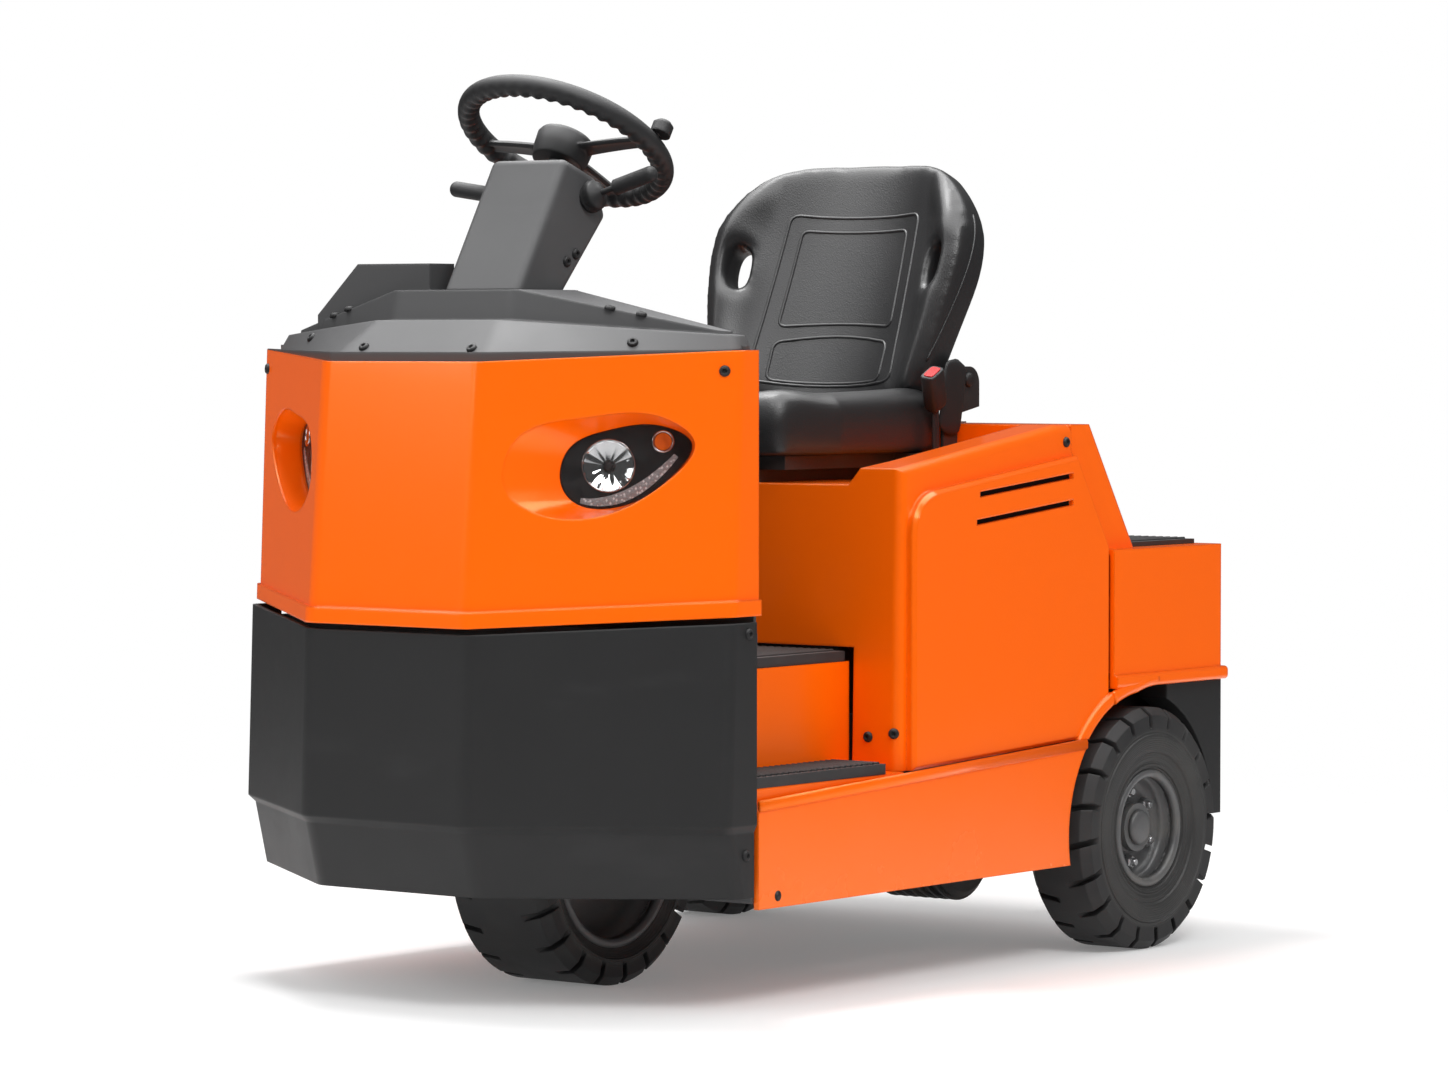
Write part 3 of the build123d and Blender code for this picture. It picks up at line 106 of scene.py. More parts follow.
def new_finish(name, **fixed):
    """A material with one shader, its wire and its Object coordinates.

    Fixed values go on the shader's sockets, with _ for a space in a socket's name.
    """
    material = bpy.data.materials.new(name)
    material.use_nodes = True
    shader = material.node_tree.nodes["Principled BSDF"]
    for socket, value in fixed.items():
        shader.inputs[socket.replace("_", " ")].default_value = value
    wire = Wire(material.node_tree)
    return material, wire, wire.put("ShaderNodeTexCoord", {}, {}, "Object")


def height_of(wire, place):
    """Height above the floor, in metres."""
    return wire.put("ShaderNodeSeparateXYZ", {}, {"Vector": place}, "Z")


def noise(wire, place, scale, detail=3.0, stretch=None):
    """Cloudy pattern from 0 to 1, with its grain stretched along an axis on request."""
    if stretch:
        place = wire.put("ShaderNodeMapping", {}, {"Vector": place, "Scale": stretch})
    return wire.put("ShaderNodeTexNoise", {}, {"Vector": place, "Scale": scale, "Detail": detail})


def soft_edges(wire, radius, height, depth, strength=1.0):
    """Bump from a height pattern, on normals that are rounded over near the sharp edges."""
    rounded = wire.put("ShaderNodeBevel", {"samples": 4}, {"Radius": radius})
    wire.put("ShaderNodeBump", {}, {"Strength": strength, "Distance": depth, "Height": height,
                                    "Normal": rounded}).into("Normal")


def coat(material, *nodes):
    """Give CAD nodes one finish."""
    for node in nodes:
        solids[node].data.materials.clear()
        solids[node].data.materials.append(material)


chassis_paint, wire, place = new_finish("chassis_paint", Specular_IOR_Level=0.4)
height = height_of(wire, place)
grime = noise(wire, place, 14.0, 6.0).rising(0.4, 0.7) * (1 - 0.7 * height.rising(0.1, 0.6))
grime.tint((0.020, 0.020, 0.021, 1.0), (0.060, 0.054, 0.047, 1.0)).into("Base Color")
(0.42 + 0.35 * grime).into("Roughness")
soft_edges(wire, 0.002, noise(wire, place, 240.0), 0.0003)
coat(chassis_paint, "chassis_frame", "steer_fork", "drive_axle", "drive_motor", "seat_base", "tow_coupling",
     "battery")


# Nuts and hinge barrels: zinc-plated steel. The nuts hold the front axle, the coupling flange and the wheels.
# Each is turned about its own axis, and six-sided where a spanner goes.
def unit(vector):
    """A vector or rows of vectors, at length one."""
    vector = np.asarray(vector, float)
    return vector / np.linalg.norm(vector, axis=-1, keepdims=True)


def turned(profile, centre, axis, sides=32):
    """Profile points (radius, height along the axis) carried round an axis through the centre."""
    axis = unit(axis)
    across = unit(np.cross(axis, (0.0, 0.6, 0.8) if abs(axis[0]) > 0.5 else (1.0, 0.0, 0.0)))
    angle = np.linspace(0, 2 * math.pi, sides, endpoint=False)
    ring = np.cos(angle)[:, None] * across + np.sin(angle)[:, None] * np.cross(axis, across)
    profile = np.asarray(profile, float)
    return np.asarray(centre) + profile[:, None, :1] * ring + profile[:, None, 1:] * axis


def carried(path, section, upward, closed=False):
    """Section points (sideways, upward) carried along a path, its ends drawn together unless closed."""
    path = np.asarray(path, float)
    run = np.roll(path, -1, 0) - np.roll(path, 1, 0) if closed else np.gradient(path, axis=0)
    side = unit(np.cross(unit(run), upward))
    lift = np.cross(side, unit(run))
    section = np.asarray(section, float)
    grid = path[:, None] + section[..., :1] * side[:, None] + section[..., 1:] * lift[:, None]
    if closed:
        return np.concatenate((grid, grid[:1]))
    first, last = grid[:1].mean(1, keepdims=True), grid[-1:].mean(1, keepdims=True)
    return np.concatenate((first + 0 * grid[:1], grid, last + 0 * grid[-1:]))


def oval(wide, high, points=12):
    """Closed oval section of given half sizes."""
    angle = np.linspace(0, 2 * math.pi, points, endpoint=False)
    return np.stack((wide * np.cos(angle), high * np.sin(angle)), axis=1)


def make_piece(name, grids, material, body, smooth=True):
    """One closed mesh from grids of points, rows by wrapped columns, riding on a body."""
    points, faces, start = [], [], 0
    for grid in grids:
        rows, cols = grid.shape[:2]
        row, col = np.meshgrid(np.arange(rows - 1), np.arange(cols), indexing="ij")
        a, b = row * cols + col, row * cols + (col + 1) % cols
        faces.append(start + np.stack((a, b, b + cols, a + cols), axis=-1).reshape(-1, 4))
        points.append(grid.reshape(-1, 3))
        start += rows * cols
    mesh = bpy.data.meshes.new(name)
    mesh.from_pydata(np.concatenate(points).tolist(), [], np.concatenate(faces).tolist())
    shape = bmesh.new()
    shape.from_mesh(mesh)
    bmesh.ops.remove_doubles(shape, verts=shape.verts, dist=1e-6)
    bmesh.ops.dissolve_degenerate(shape, edges=shape.edges, dist=1e-7)
    bmesh.ops.recalc_face_normals(shape, faces=shape.faces)
    shape.to_mesh(mesh)
    shape.free()
    mesh.polygons.foreach_set("use_smooth", np.full(len(mesh.polygons), smooth))
    mesh.materials.append(material)
    piece = bpy.data.objects.new(name, mesh)
    bpy.context.scene.collection.objects.link(piece)
    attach(piece, body)
    return piece


def crisp(piece, degrees=35.0):
    """Smooth shading that breaks at sharp edges."""
    piece.data.set_sharp_from_angle(angle=math.radians(degrees))


zinc_steel, wire, place = new_finish("zinc_steel", Metallic=1.0)
brushed = noise(wire, place, 300.0, 2.0, (1.0, 0.05, 1.0))
brushed.tint((0.46, 0.46, 0.47, 1.0), (0.64, 0.64, 0.65, 1.0)).into("Base Color")
(0.3 + 0.2 * brushed).into("Roughness")
coat(zinc_steel, "hinge_fixed", "hinge_hood")

nut_radius, nut_height, stud_radius, stud_height = 0.0115, 0.012, 0.0065, 0.019


def nut_on_stud(centre, axis):
    """A six-sided nut, chamfered, with the end of its stud standing out."""
    nut = [(0, 0), (nut_radius, 0), (nut_radius, nut_height * 0.85), (nut_radius * 0.85, nut_height),
           (0, nut_height)]
    stud = [(0, 0), (stud_radius, 0), (stud_radius, stud_height * 0.9), (stud_radius * 0.8, stud_height),
            (0, stud_height)]
    return [turned(nut, centre, axis, 6), turned(stud, centre, axis, 16)]


front_axle, front_arm_y, wheel_radius = 0.400048, 0.125, 0.200
axle_nuts = [grid for side in (1, -1)
             for grid in nut_on_stud((front_axle, side * front_arm_y, wheel_radius), (0, side, 0))]
crisp(make_piece("axle_nuts", axle_nuts, zinc_steel, "fork"))
flange_x, flange_y, flange_low, flange_high = -0.782, 0.060, 0.254, 0.400
flange_nuts = [grid for y in (-flange_y, flange_y) for z in (flange_low, flange_high)
               for grid in nut_on_stud((flange_x, y, z), (-1, 0, 0))]
crisp(make_piece("coupling_nuts", flange_nuts, zinc_steel, "chassis"))


# Drive motor: a cast drum bolted beside the gear case on the drive axle, painted with the chassis.
# Cooling ribs are cast round its shell, each a tapered section carried round the drum.
motor_x, motor_z, motor_radius = -0.394, 0.162, 0.084
motor_start, motor_end, rib_count = 0.060, 0.180, 7
rib_ring = np.linspace(0, 2 * math.pi, 49)[:-1]
rib_section = np.array([(-0.003, -0.004), (0.003, -0.004), (0.002, 0.006), (-0.002, 0.006)])
rib_out = np.stack((np.cos(rib_ring), 0 * rib_ring, np.sin(rib_ring)), axis=1)
motor_ribs = [carried((motor_x, y, motor_z) + motor_radius * rib_out, rib_section, rib_out, closed=True)
              for y in np.linspace(motor_start, motor_end, rib_count)]
make_piece("motor_ribs", motor_ribs, chassis_paint, "chassis", smooth=False)


# Body panels: pressed sheet steel, sprayed gloss orange and baked, screwed to the frame.
# The front panel, floor riser, hood, rear body and side sills share this finish.
orange = (1.0, 0.130, 0.0, 1.0)
orange_dusty = (0.80, 0.15, 0.025, 1.0)
orange_paint, wire, place = new_finish("orange_paint", Coat_Roughness=0.05, Specular_IOR_Level=0.8,
                                       Specular_Tint=(1.0, 0.72, 0.28, 1.0))
height = height_of(wire, place)
dust = noise(wire, place, 7.0, 5.0) * (1 - height.rising(0.05, 0.5)) * 0.35
dust.tint(orange, orange_dusty).into("Base Color")
(0.17 + 0.5 * dust + 0.05 * noise(wire, place, 30.0)).into("Roughness")
(0.12 * height.rising(0.0, 0.6) * (1 - dust)).into("Coat Weight")
soft_edges(wire, 0.005, noise(wire, place, 320.0, 1.0), 0.0001)
coat(orange_paint, "front_panel", "hood", "rear_body", "side_sill_left", "side_sill_right", "floor_tunnel")


# Bumper and mudguards: thick moulded dark polymer with a fine grain, bolted on from behind.
# The cowl, bulkhead and column shroud are a lighter grey of the same moulding.
def moulding(name, colour, scuffed, grain=1400.0):
    """Grained moulded polymer with a few pale scuffs."""
    material, wire, place = new_finish(name, Specular_IOR_Level=0.32)
    scuffs = noise(wire, place, 5.0, 8.0, (1.0, 1.0, 3.0)).rising(0.58, 0.75) * 0.35
    scuffs.tint(colour, scuffed).into("Base Color")
    (0.46 + 0.12 * noise(wire, place, 11.0) + 0.1 * scuffs).into("Roughness")
    soft_edges(wire, 0.005, noise(wire, place, grain, 2.0), 0.0002, 0.6)
    return material


dark_moulding = moulding("dark_moulding", (0.015, 0.015, 0.0155, 1.0), (0.026, 0.026, 0.027, 1.0))
grey_moulding = moulding("grey_moulding", (0.066, 0.066, 0.068, 1.0), (0.090, 0.090, 0.093, 1.0))
black_moulding = moulding("black_moulding", (0.015, 0.015, 0.016, 1.0), (0.032, 0.032, 0.034, 1.0))
coat(dark_moulding, "front_bumper", "rear_bumper")
coat(grey_moulding, "dash_cowl", "steering_column", "bulkhead")
coat(black_moulding, "spinner_knob", "column_levers", "headlamp_left", "headlamp_right")


# Panel screws: black socket heads in the cowl's rim, the nose panel, the bumper and the hood.
# Each sits square on the face where a straight line meets the panel.
def touch(node, start, toward):
    """Place and outward normal where a line from a start point first meets a CAD node."""
    mesh = solids[node].data
    points = np.empty(3 * len(mesh.vertices))
    mesh.vertices.foreach_get("co", points)
    faces = [list(face.vertices) for face in mesh.polygons]
    tree = BVHTree.FromPolygons(points.reshape(-1, 3).tolist(), faces)
    place, normal, _, _ = tree.ray_cast(Vector(start), Vector(toward).normalized())
    return np.array(place), np.array(normal) * (-1 if normal.dot(Vector(toward)) > 0 else 1)


screw_radius = 0.0085
screw_profile = [(0, 0.0012), (0.0034, 0.0012), (0.0036, 0.0046), (0.0062, 0.0043), (0.0080, 0.0025),
                 (screw_radius, 0), (screw_radius, -0.002), (0, -0.002)]


def screws(name, node, body, starts, toward):
    """Socket-headed screws on one panel."""
    seats = [touch(node, start, toward) for start in starts]
    heads = [turned(screw_profile, place, normal, 24) for place, normal in seats]
    crisp(make_piece(name, heads, black_moulding, body))


ahead, above, beside = 1.5, 1.6, 0.9
rim_spots = ((-0.330, 1.009), (-0.105, 0.995), (0.111, 0.993), (0.321, 1.002))
screws("cowl_rim_screws", "dash_cowl", "chassis", [(ahead, y, z) for y, z in rim_spots], (-1, 0, 0))
top_spots = ((0.615, -0.306), (0.633, -0.260), (0.633, 0.260), (0.615, 0.306))
screws("cowl_top_screws", "dash_cowl", "chassis", [(x, y, above) for x, y in top_spots], (0, 0, -1))
screws("panel_screws", "front_panel", "chassis", [(ahead, y, 0.960) for y in (-0.456, 0.456)], (-1, 0, 0))
hood_spots = ((-0.435, 0.394), (-0.387, 0.387), (0.387, 0.387), (0.435, 0.394))
screws("hood_front_screws", "hood", "hood_group", [(ahead, y, z) for y, z in hood_spots], (-1, 0, 0))
for name, side in (("left", 1), ("right", -1)):
    bumper_spots = [(0.580, side * beside, z) for z in (0.24, 0.570)]
    screws(f"bumper_screws_{name}", "front_bumper", "chassis", bumper_spots, (0, -side, 0))
    screws(f"hood_screws_{name}", "hood", "hood_group", [(-0.316, side * beside, 0.840)], (0, -side, 0))


# Cowl flange: the grey moulding's turned-down lower edge, tucked in behind the nose panel's top edge.
# It follows the panel's two bends and closes the joints to the panel and to the bulkhead behind.
flange_corners = np.array([(0.598, -0.462, 0.984), (0.798, -0.150, 0.973),
                           (0.798, 0.150, 0.973), (0.598, 0.462, 0.984)])
run = np.linspace(0, 1, 8)[:-1, None]
flange_path = [(1 - run) * start + run * end for start, end in zip(flange_corners[:-1], flange_corners[1:])]
flange_path = np.concatenate(flange_path + [flange_corners[-1:]])
flange_tall = np.interp(np.abs(flange_path[:, 1]), (0.150, 0.462), (0.015, 0.008))
flange_section = np.array([(-0.002, -1), (0.002, -1), (0.002, 1), (-0.002, 1)])
flange_section = flange_section * np.stack((1 + 0 * flange_tall, flange_tall), 1)[:, None]
wall_low, wall_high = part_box("bulkhead")
strip_half, wall_lap, strip_lift, strip_inset = 0.018, 0.002, 0.006, 0.004
wall_ends = [(wall_high[0] + wall_lap, y, wall_high[2] + strip_lift)
             for y in (wall_low[1] + strip_inset, wall_high[1] - strip_inset)]
wall_section = np.array([(-1, -1), (1, -1), (1, 1), (-1, 1)]) * (wall_lap, strip_half)
flange_strips = [carried(flange_path, flange_section, (0, 0, 1)), carried(wall_ends, wall_section, (0, 0, 1))]
make_piece("cowl_flange", flange_strips, grey_moulding, "chassis", smooth=False)


# Sill beads: the painted sheet's top edge, rolled over into a slim bead that laps the hood's lower edge.
# A thin black disc low at the front is painted shade, standing for the round hole that takes a tie-down hook.
sill_top, sill_rise, hook_x, hook_z = 0.311, 0.045, 0.492, 0.1725
bead_outset, bead_half, bead_tall, bead_rear, bead_sink = 0.0015, 0.0035, 0.0090, -0.340, 0.001
hook_shade_profile = [(0, -0.001), (0.008, -0.001), (0.008, 0.0004), (0, 0.0004)]
beads, hook_hole_shades = [], []
for node, side in (("side_sill_left", 1), ("side_sill_right", -1)):
    low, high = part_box(node)
    sill_y = max(abs(low[1]), abs(high[1]))
    ends = [(x, side * (sill_y + bead_outset), sill_top - bead_sink + sill_rise * (high[0] - x))
            for x in (high[0], bead_rear)]
    beads.append(carried(ends, oval(bead_half, bead_tall, 20), (0, 0, 1)))
    spot, face = touch(node, (hook_x, side * beside, hook_z), (0, -side, 0))
    # Each hook hole is painted shade: a black disc laid on the sill's face.
    hook_hole_shades.append(turned(hook_shade_profile, spot, face, 24))
make_piece("sill_beads", beads, orange_paint, "chassis")
make_piece("sill_hook_hole_shades", hook_hole_shades, black_moulding, "chassis")


# Arch lips: the rear body's sheet, rolled outwards over each rear wheel and painted with the body.
# The short curved length here carries the hood's arch on to the rear box's level lip.
def both_sides(grids):
    """The left side's grids and their mirror images across the middle plane."""
    return grids + [grid[:, ::-1] * (1, -1, 1) for grid in grids]


rear_axle, lip_radius, lip_level, lip_y, tail_length = -0.516942, 0.2365, 0.445, 0.4655, 0.065
aim = np.radians(np.linspace(67.5, 84.0, 14))
lip_arc = np.stack((rear_axle + lip_radius * np.cos(aim), lip_y + 0 * aim,
                    wheel_radius + lip_radius * np.sin(aim)), 1)
run = np.linspace(0, 1, 8)[1:]
lip_tail = np.stack((lip_arc[-1, 0] - tail_length * run, lip_y + 0 * run,
                     lip_arc[-1, 2] + (lip_level - lip_arc[-1, 2]) * (1 - (1 - run)**2)), 1)
lip = carried(np.concatenate((lip_arc, lip_tail)), oval(0.0070, 0.0112, 20), (0, 0, 1))
make_piece("arch_lips", both_sides([lip]), orange_paint, "chassis")


# Hood louvres: two sloping slots pressed into each side of the hood, to let the battery breathe.
# A thin strip on each slot's floor is painted shade: near-black, so that the slot reads as a dark opening.
louvre_front, louvre_rear, louvre_floor_y, louvre_half = -0.050, -0.315, 0.4522, 0.0044
louvre_slope, lower_set_ahead, end_gap = 0.092, 0.009, 0.001
# The strips' near-black colour is painted shade, standing for the shadow inside each opening.
louvre_painted_shade, wire, place = new_finish("louvre_painted_shade", Base_Color=(0.006, 0.006, 0.006, 1.0),
                                       Specular_IOR_Level=0.1)
(0.8 + 0.1 * noise(wire, place, 60.0)).into("Roughness")
shade_strip_section = np.array([(-0.0003, -1), (0.0003, -1), (0.0003, 1), (-0.0003, 1)]) * (1, louvre_half)
shade_strips = []
for low, front in ((0.757, louvre_front), (0.713, louvre_front + lower_set_ahead)):
    rise = louvre_slope * (front - louvre_rear)
    for y in (-louvre_floor_y, louvre_floor_y):
        ends = [(front - end_gap, y, low + louvre_half), (louvre_rear + end_gap, y, low + rise + louvre_half)]
        shade_strips.append(carried(ends, shade_strip_section, (0, 0, 1)))
make_piece("louvre_shade_strips", shade_strips, louvre_painted_shade, "hood_group", smooth=False)


# Mats and pedal pads: black moulded rubber sheets, the mats loose in their trays and the pads bonded on.
# Ribs stand up from the sheet, one profile carried along each line.
mat_rubber, wire, place = new_finish("mat_rubber", Specular_IOR_Level=0.35)
tread_dust = noise(wire, place, 22.0, 6.0).rising(0.45, 0.8) * 0.5
tread_dust.tint((0.030, 0.030, 0.031, 1.0), (0.070, 0.067, 0.063, 1.0)).into("Base Color")
(0.6 + 0.2 * tread_dust).into("Roughness")
soft_edges(wire, 0.002, noise(wire, place, 700.0, 2.0), 0.0002)
coat(mat_rubber, "floor_mat", "step_mat_left", "step_mat_right", "deck_mat", "pedals")
rib_half, rib_rise, rib_pitch, mat_margin = 0.0030, 0.0030, 0.0145, 0.008
rib_shape = np.array([(-rib_half, -0.001), (rib_half, -0.001), (rib_half, 0.4 * rib_rise),
                      (0.6 * rib_half, rib_rise), (-0.6 * rib_half, rib_rise), (-rib_half, 0.4 * rib_rise)])
rib_runs = {"floor_mat": "x", "step_mat_left": "y", "step_mat_right": "y", "deck_mat": "x"}
for node, ribs_run in rib_runs.items():
    low, high = (np.array(corner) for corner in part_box(node))
    inner_low, inner_high, top = low + mat_margin, high - mat_margin, high[2]
    if ribs_run == "y":
        lines = np.arange(inner_low[0], inner_high[0] + 1e-6, rib_pitch)
        paths = [((x, inner_low[1], top), (x, inner_high[1], top)) for x in lines]
    else:
        lines = np.arange(inner_low[1], inner_high[1] + 1e-6, rib_pitch)
        paths = [((inner_low[0], y, top), (inner_high[0], y, top)) for y in lines]
    mat_ribs = [carried(path, rib_shape, (0, 0, 1)) for path in paths]
    make_piece(f"{node}_ribs", mat_ribs, mat_rubber, "chassis", smooth=False)

pedal_x, pedal_z, pedal_tilt, pedal_thick = 0.49996, 0.607, math.radians(50.0), 0.010
pedal_half, pedal_reach, pedal_bar_count = 0.032, 0.046, 8
pedal_face = np.array((-math.sin(pedal_tilt), 0.0, math.cos(pedal_tilt)))
pedal_up = np.array((math.cos(pedal_tilt), 0.0, math.sin(pedal_tilt)))
pedal_bars = [carried([np.array((pedal_x, y + reach, pedal_z)) + pedal_thick * pedal_face + step * pedal_up
                       for reach in (-pedal_half, pedal_half)], rib_shape, pedal_face)
              for y in (0.070, -0.075) for step in np.linspace(-pedal_reach, pedal_reach, pedal_bar_count)]
make_piece("pedal_ribs", pedal_bars, mat_rubber, "chassis", smooth=False)


# Headlamps: a fluted bright bowl and bulb in a dark housing, a ribbed clear strip below, amber turn
# lens above, all behind one clear cover. They are set in the panel's two slanted facets.
facet_ridge = np.array((0.844, 0.154, 0.595))
facet_corner = np.array((0.60996, 0.474, 0.595))
facet_head = np.array((0.811, 0.154, 0.974))
facet_height = 0.379
facet_across = unit(facet_corner - facet_ridge)
facet_out = unit(np.cross(facet_across, facet_head - facet_ridge))
facet_up = np.cross(facet_out, facet_across)
facet_width = np.linalg.norm(facet_corner - facet_ridge)
housing_depth, lamp_spot, turn_spot = 0.040, (0.53, 0.60), (0.735, 0.695)


def on_lamp(across, up, depth):
    """Point behind the left facet from shares of its width and height, and a depth."""
    in_face = across * facet_width * facet_across + up * facet_height * facet_up
    return facet_ridge + in_face - depth * facet_out


clear_cover, wire, place = new_finish("clear_cover", Base_Color=(0.04, 0.04, 0.04, 1.0), Alpha=0.12,
                                      Coat_Weight=1.0, Coat_Roughness=0.02)
(0.02 + 0.03 * noise(wire, place, 25.0)).into("Roughness")
amber_lens, wire, place = new_finish("amber_lens", Roughness=0.1, Coat_Weight=0.6)
noise(wire, place, 160.0).tint((1.0, 0.20, 0.005, 1.0), (0.75, 0.11, 0.003, 1.0)).into("Base Color")
red_lens, wire, place = new_finish("red_lens", Roughness=0.1, Coat_Weight=0.6)
noise(wire, place, 160.0).tint((0.45, 0.010, 0.012, 1.0), (0.28, 0.006, 0.008, 1.0)).into("Base Color")
bright_bowl, wire, place = new_finish("bright_bowl", Metallic=1.0, Base_Color=(0.68, 0.69, 0.70, 1.0))
(0.05 + 0.06 * noise(wire, place, 90.0)).into("Roughness")
ribbed_strip_painted_glints, wire, place = new_finish("ribbed_strip_painted_glints", Roughness=0.15, Metallic=0.3)
prism_bumps_and_glints = wire.put("ShaderNodeTexVoronoi", {"distance": "MANHATTAN"}, {"Vector": place, "Scale": 190.0})
# The clear strip's light and dark cells are painted glints: each prism cell is painted light at its middle
# and dark at its edges.
prism_bumps_and_glints.rising(0.2, 0.7).tint((0.75, 0.77, 0.78, 1.0), (0.30, 0.31, 0.32, 1.0)).into("Base Color")
wire.put("ShaderNodeBump", {}, {"Strength": 0.6, "Distance": 0.002, "Height": prism_bumps_and_glints}).into("Normal")
for side in ("left", "right"):
    coat(clear_cover, f"headlamp_cover_{side}")
    coat(amber_lens, f"turn_lens_{side}")
coat(red_lens, "tail_lamps")

bowl_radius, bowl_depth, flute_count, flute_depth = 0.0368, 0.0115, 14, 0.0012
share = np.linspace(0.18, 1.0, 12)
bowl_profile = np.stack((bowl_radius * share, bowl_depth * share**2 - bowl_depth), axis=1)
bowl_centre = on_lamp(*lamp_spot, housing_depth)
bowl = turned(bowl_profile, bowl_centre, facet_out, 112)
flutes = flute_depth * np.abs(np.sin(np.linspace(0, math.pi * flute_count, 112, endpoint=False)))
bowl = bowl + (share[:, None] * flutes)[..., None] * facet_out
ring_profile = np.array([(0, 0), (0.0022, 0.0012), (0.0034, 0.0002), (0.0030, -0.002), (0, -0.002), (0, 0)])
rim_ring = turned(ring_profile + (bowl_radius, 0), bowl_centre, facet_out, 64)
bulb_profile = [(0, 0.001), (0.005, 0.0005), (0.0075, -0.003), (0.0075, -0.011), (0, -0.012)]
bulb = turned(bulb_profile, bowl_centre, facet_out, 32)
make_piece("lamp_bowls", both_sides([bowl, rim_ring]), bright_bowl, "chassis")
make_piece("lamp_bulbs", both_sides([bulb]), black_moulding, "chassis")
turn_centre = on_lamp(*turn_spot, housing_depth)
turn_ring = turned([(0.0135, 0.0), (0.0145, 0.0016), (0.0165, 0.0016), (0.0170, -0.001), (0.0135, -0.001),
                    (0.0135, 0.0)], turn_centre, facet_out, 48)
make_piece("turn_lamp_rings", both_sides([turn_ring]), bright_bowl, "chassis")
run = np.linspace(0, 1, 40)
strip_across = (0.425 + 0.36 * run) * facet_width
strip_up = (0.462 - 0.077 * run + 0.255 * run**2) * facet_height
strip_path = (on_lamp(0, 0, housing_depth) + strip_across[:, None] * facet_across
              + strip_up[:, None] * facet_up)
strip_width = 0.0020 + 0.0060 * np.sin(math.pi * np.clip(0.10 + 0.80 * run, 0, 1))
strip_section = np.array([(-1, -0.3), (1, -0.3), (1, 0.2), (-1, 0.2)])
strip_section = strip_section * np.stack((strip_width, 0.004 + 0 * run), 1)[:, None]
strip = carried(strip_path, strip_section, facet_out)
make_piece("lamp_strips", both_sides([strip]), ribbed_strip_painted_glints, "chassis", smooth=False)

tail_lamp_x, tail_lamp_y, tail_lamp_z = -0.768, 0.388, 0.560
tail_rings = [turned([(0.0302, 0.0), (0.0302, 0.008), (0.0335, 0.008), (0.036, 0.003), (0.036, 0.0)],
                     (tail_lamp_x, y, tail_lamp_z), (-1, 0, 0), 48) for y in (-tail_lamp_y, tail_lamp_y)]
make_piece("tail_lamp_rings", tail_rings, black_moulding, "chassis")


# Steering column and hand wheel: a moulded rim with finger grips below, three dished spokes and a
# capped hub on the shaft. Rubber collars seal the two levers where they leave the shroud.
hub = np.array((0.418964, 0.0, 1.314))
lean = math.radians(31.0)
wheel_axis = np.array((-math.sin(lean), 0.0, math.cos(lean)))
wheel_right = np.array((0.0, 1.0, 0.0))
wheel_back = np.cross(wheel_axis, wheel_right)
grip_black = moulding("grip_black", (0.018, 0.018, 0.019, 1.0), (0.030, 0.030, 0.032, 1.0), 900.0)
rim_radius, tube_radius, grip_count, grip_height = 0.160, 0.0170, 46, 0.0016
turn = np.linspace(0, 2 * math.pi, 12 * grip_count, endpoint=False)
around = np.linspace(0, 2 * math.pi, 28, endpoint=False)
below = np.clip(-np.sin(around + 0.5), 0, 1)**0.7
tube = tube_radius + grip_height * below[None, :] * (np.cos(grip_count * turn)[:, None] - 0.2)
spoke_dir = np.cos(turn)[:, None] * wheel_right + np.sin(turn)[:, None] * wheel_back
rim_grid = (hub + (rim_radius + tube * np.cos(around))[..., None] * spoke_dir[:, None]
            + (tube * np.sin(around))[..., None] * wheel_axis)
rim_grid = np.concatenate((rim_grid, rim_grid[:1]))
spoke_start, spoke_length, spoke_dish, spoke_sink = 0.020, 0.138, 0.014, 0.003
spoke_half, spoke_taper = 0.0185, 0.006
run = np.linspace(0, 1, 16)
spokes = []
for aim in (0.0, 0.5 * math.pi, math.pi):
    outward = math.cos(aim) * wheel_right + math.sin(aim) * wheel_back
    dished = -spoke_dish * (1 - run)**1.5 - spoke_sink
    path = hub + (spoke_start + spoke_length * run)[:, None] * outward + dished[:, None] * wheel_axis
    half = spoke_half - spoke_taper * run
    spoke_wide = half[:, None] * np.array((-1, -0.55, 0.55, 1, 0.7, 0, -0.7))
    spoke_tall = np.array((-0.002, 0.0055, 0.0055, -0.002, -0.006, -0.0035, -0.006)) + 0 * half[:, None]
    section = np.stack((spoke_wide, spoke_tall), axis=-1)
    spokes.append(carried(path, section, wheel_axis))
hub_cap = turned([(0.0150, -0.040), (0.041, -0.040), (0.045, -0.022), (0.046, 0.000), (0.043, 0.006),
                  (0.034, 0.0085), (0.0, 0.0095)], hub, wheel_axis, 64)
hub_bore = turned([(0.0150, -0.040), (0.0150, 0.001), (0.0, 0.001)], hub, wheel_axis, 64)
wheel_grids = [rim_grid, hub_cap, hub_bore] + spokes
hand_wheel = make_piece("hand_wheel", wheel_grids, grip_black, "hand_wheel")
crisp(hand_wheel, 50.0)
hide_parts("steering_wheel")

lever_foot = np.array((0.451964, 0.075, 1.226))
collar_profile = [(0, -0.002), (0.0255, -0.002), (0.0255, 0.003), (0.0225, 0.0055), (0.0245, 0.008),
                  (0.0222, 0.0105), (0.0236, 0.013), (0.0215, 0.0165), (0.012, 0.020), (0.0065, 0.026),
                  (0, 0.026)]
collars = [turned(collar_profile, lever_foot * (1, side, 1), (0.0, side * 0.128, rise), 40)
           for side, rise in ((1, 0.036), (-1, 0.018))]
make_piece("lever_collars", collars, grip_black, "chassis")
column_spots = [(0.509, beside, 1.126), (0.487, beside, 1.138)]
screws("column_screws", "steering_column", "chassis", column_spots, (0, -1, 0))


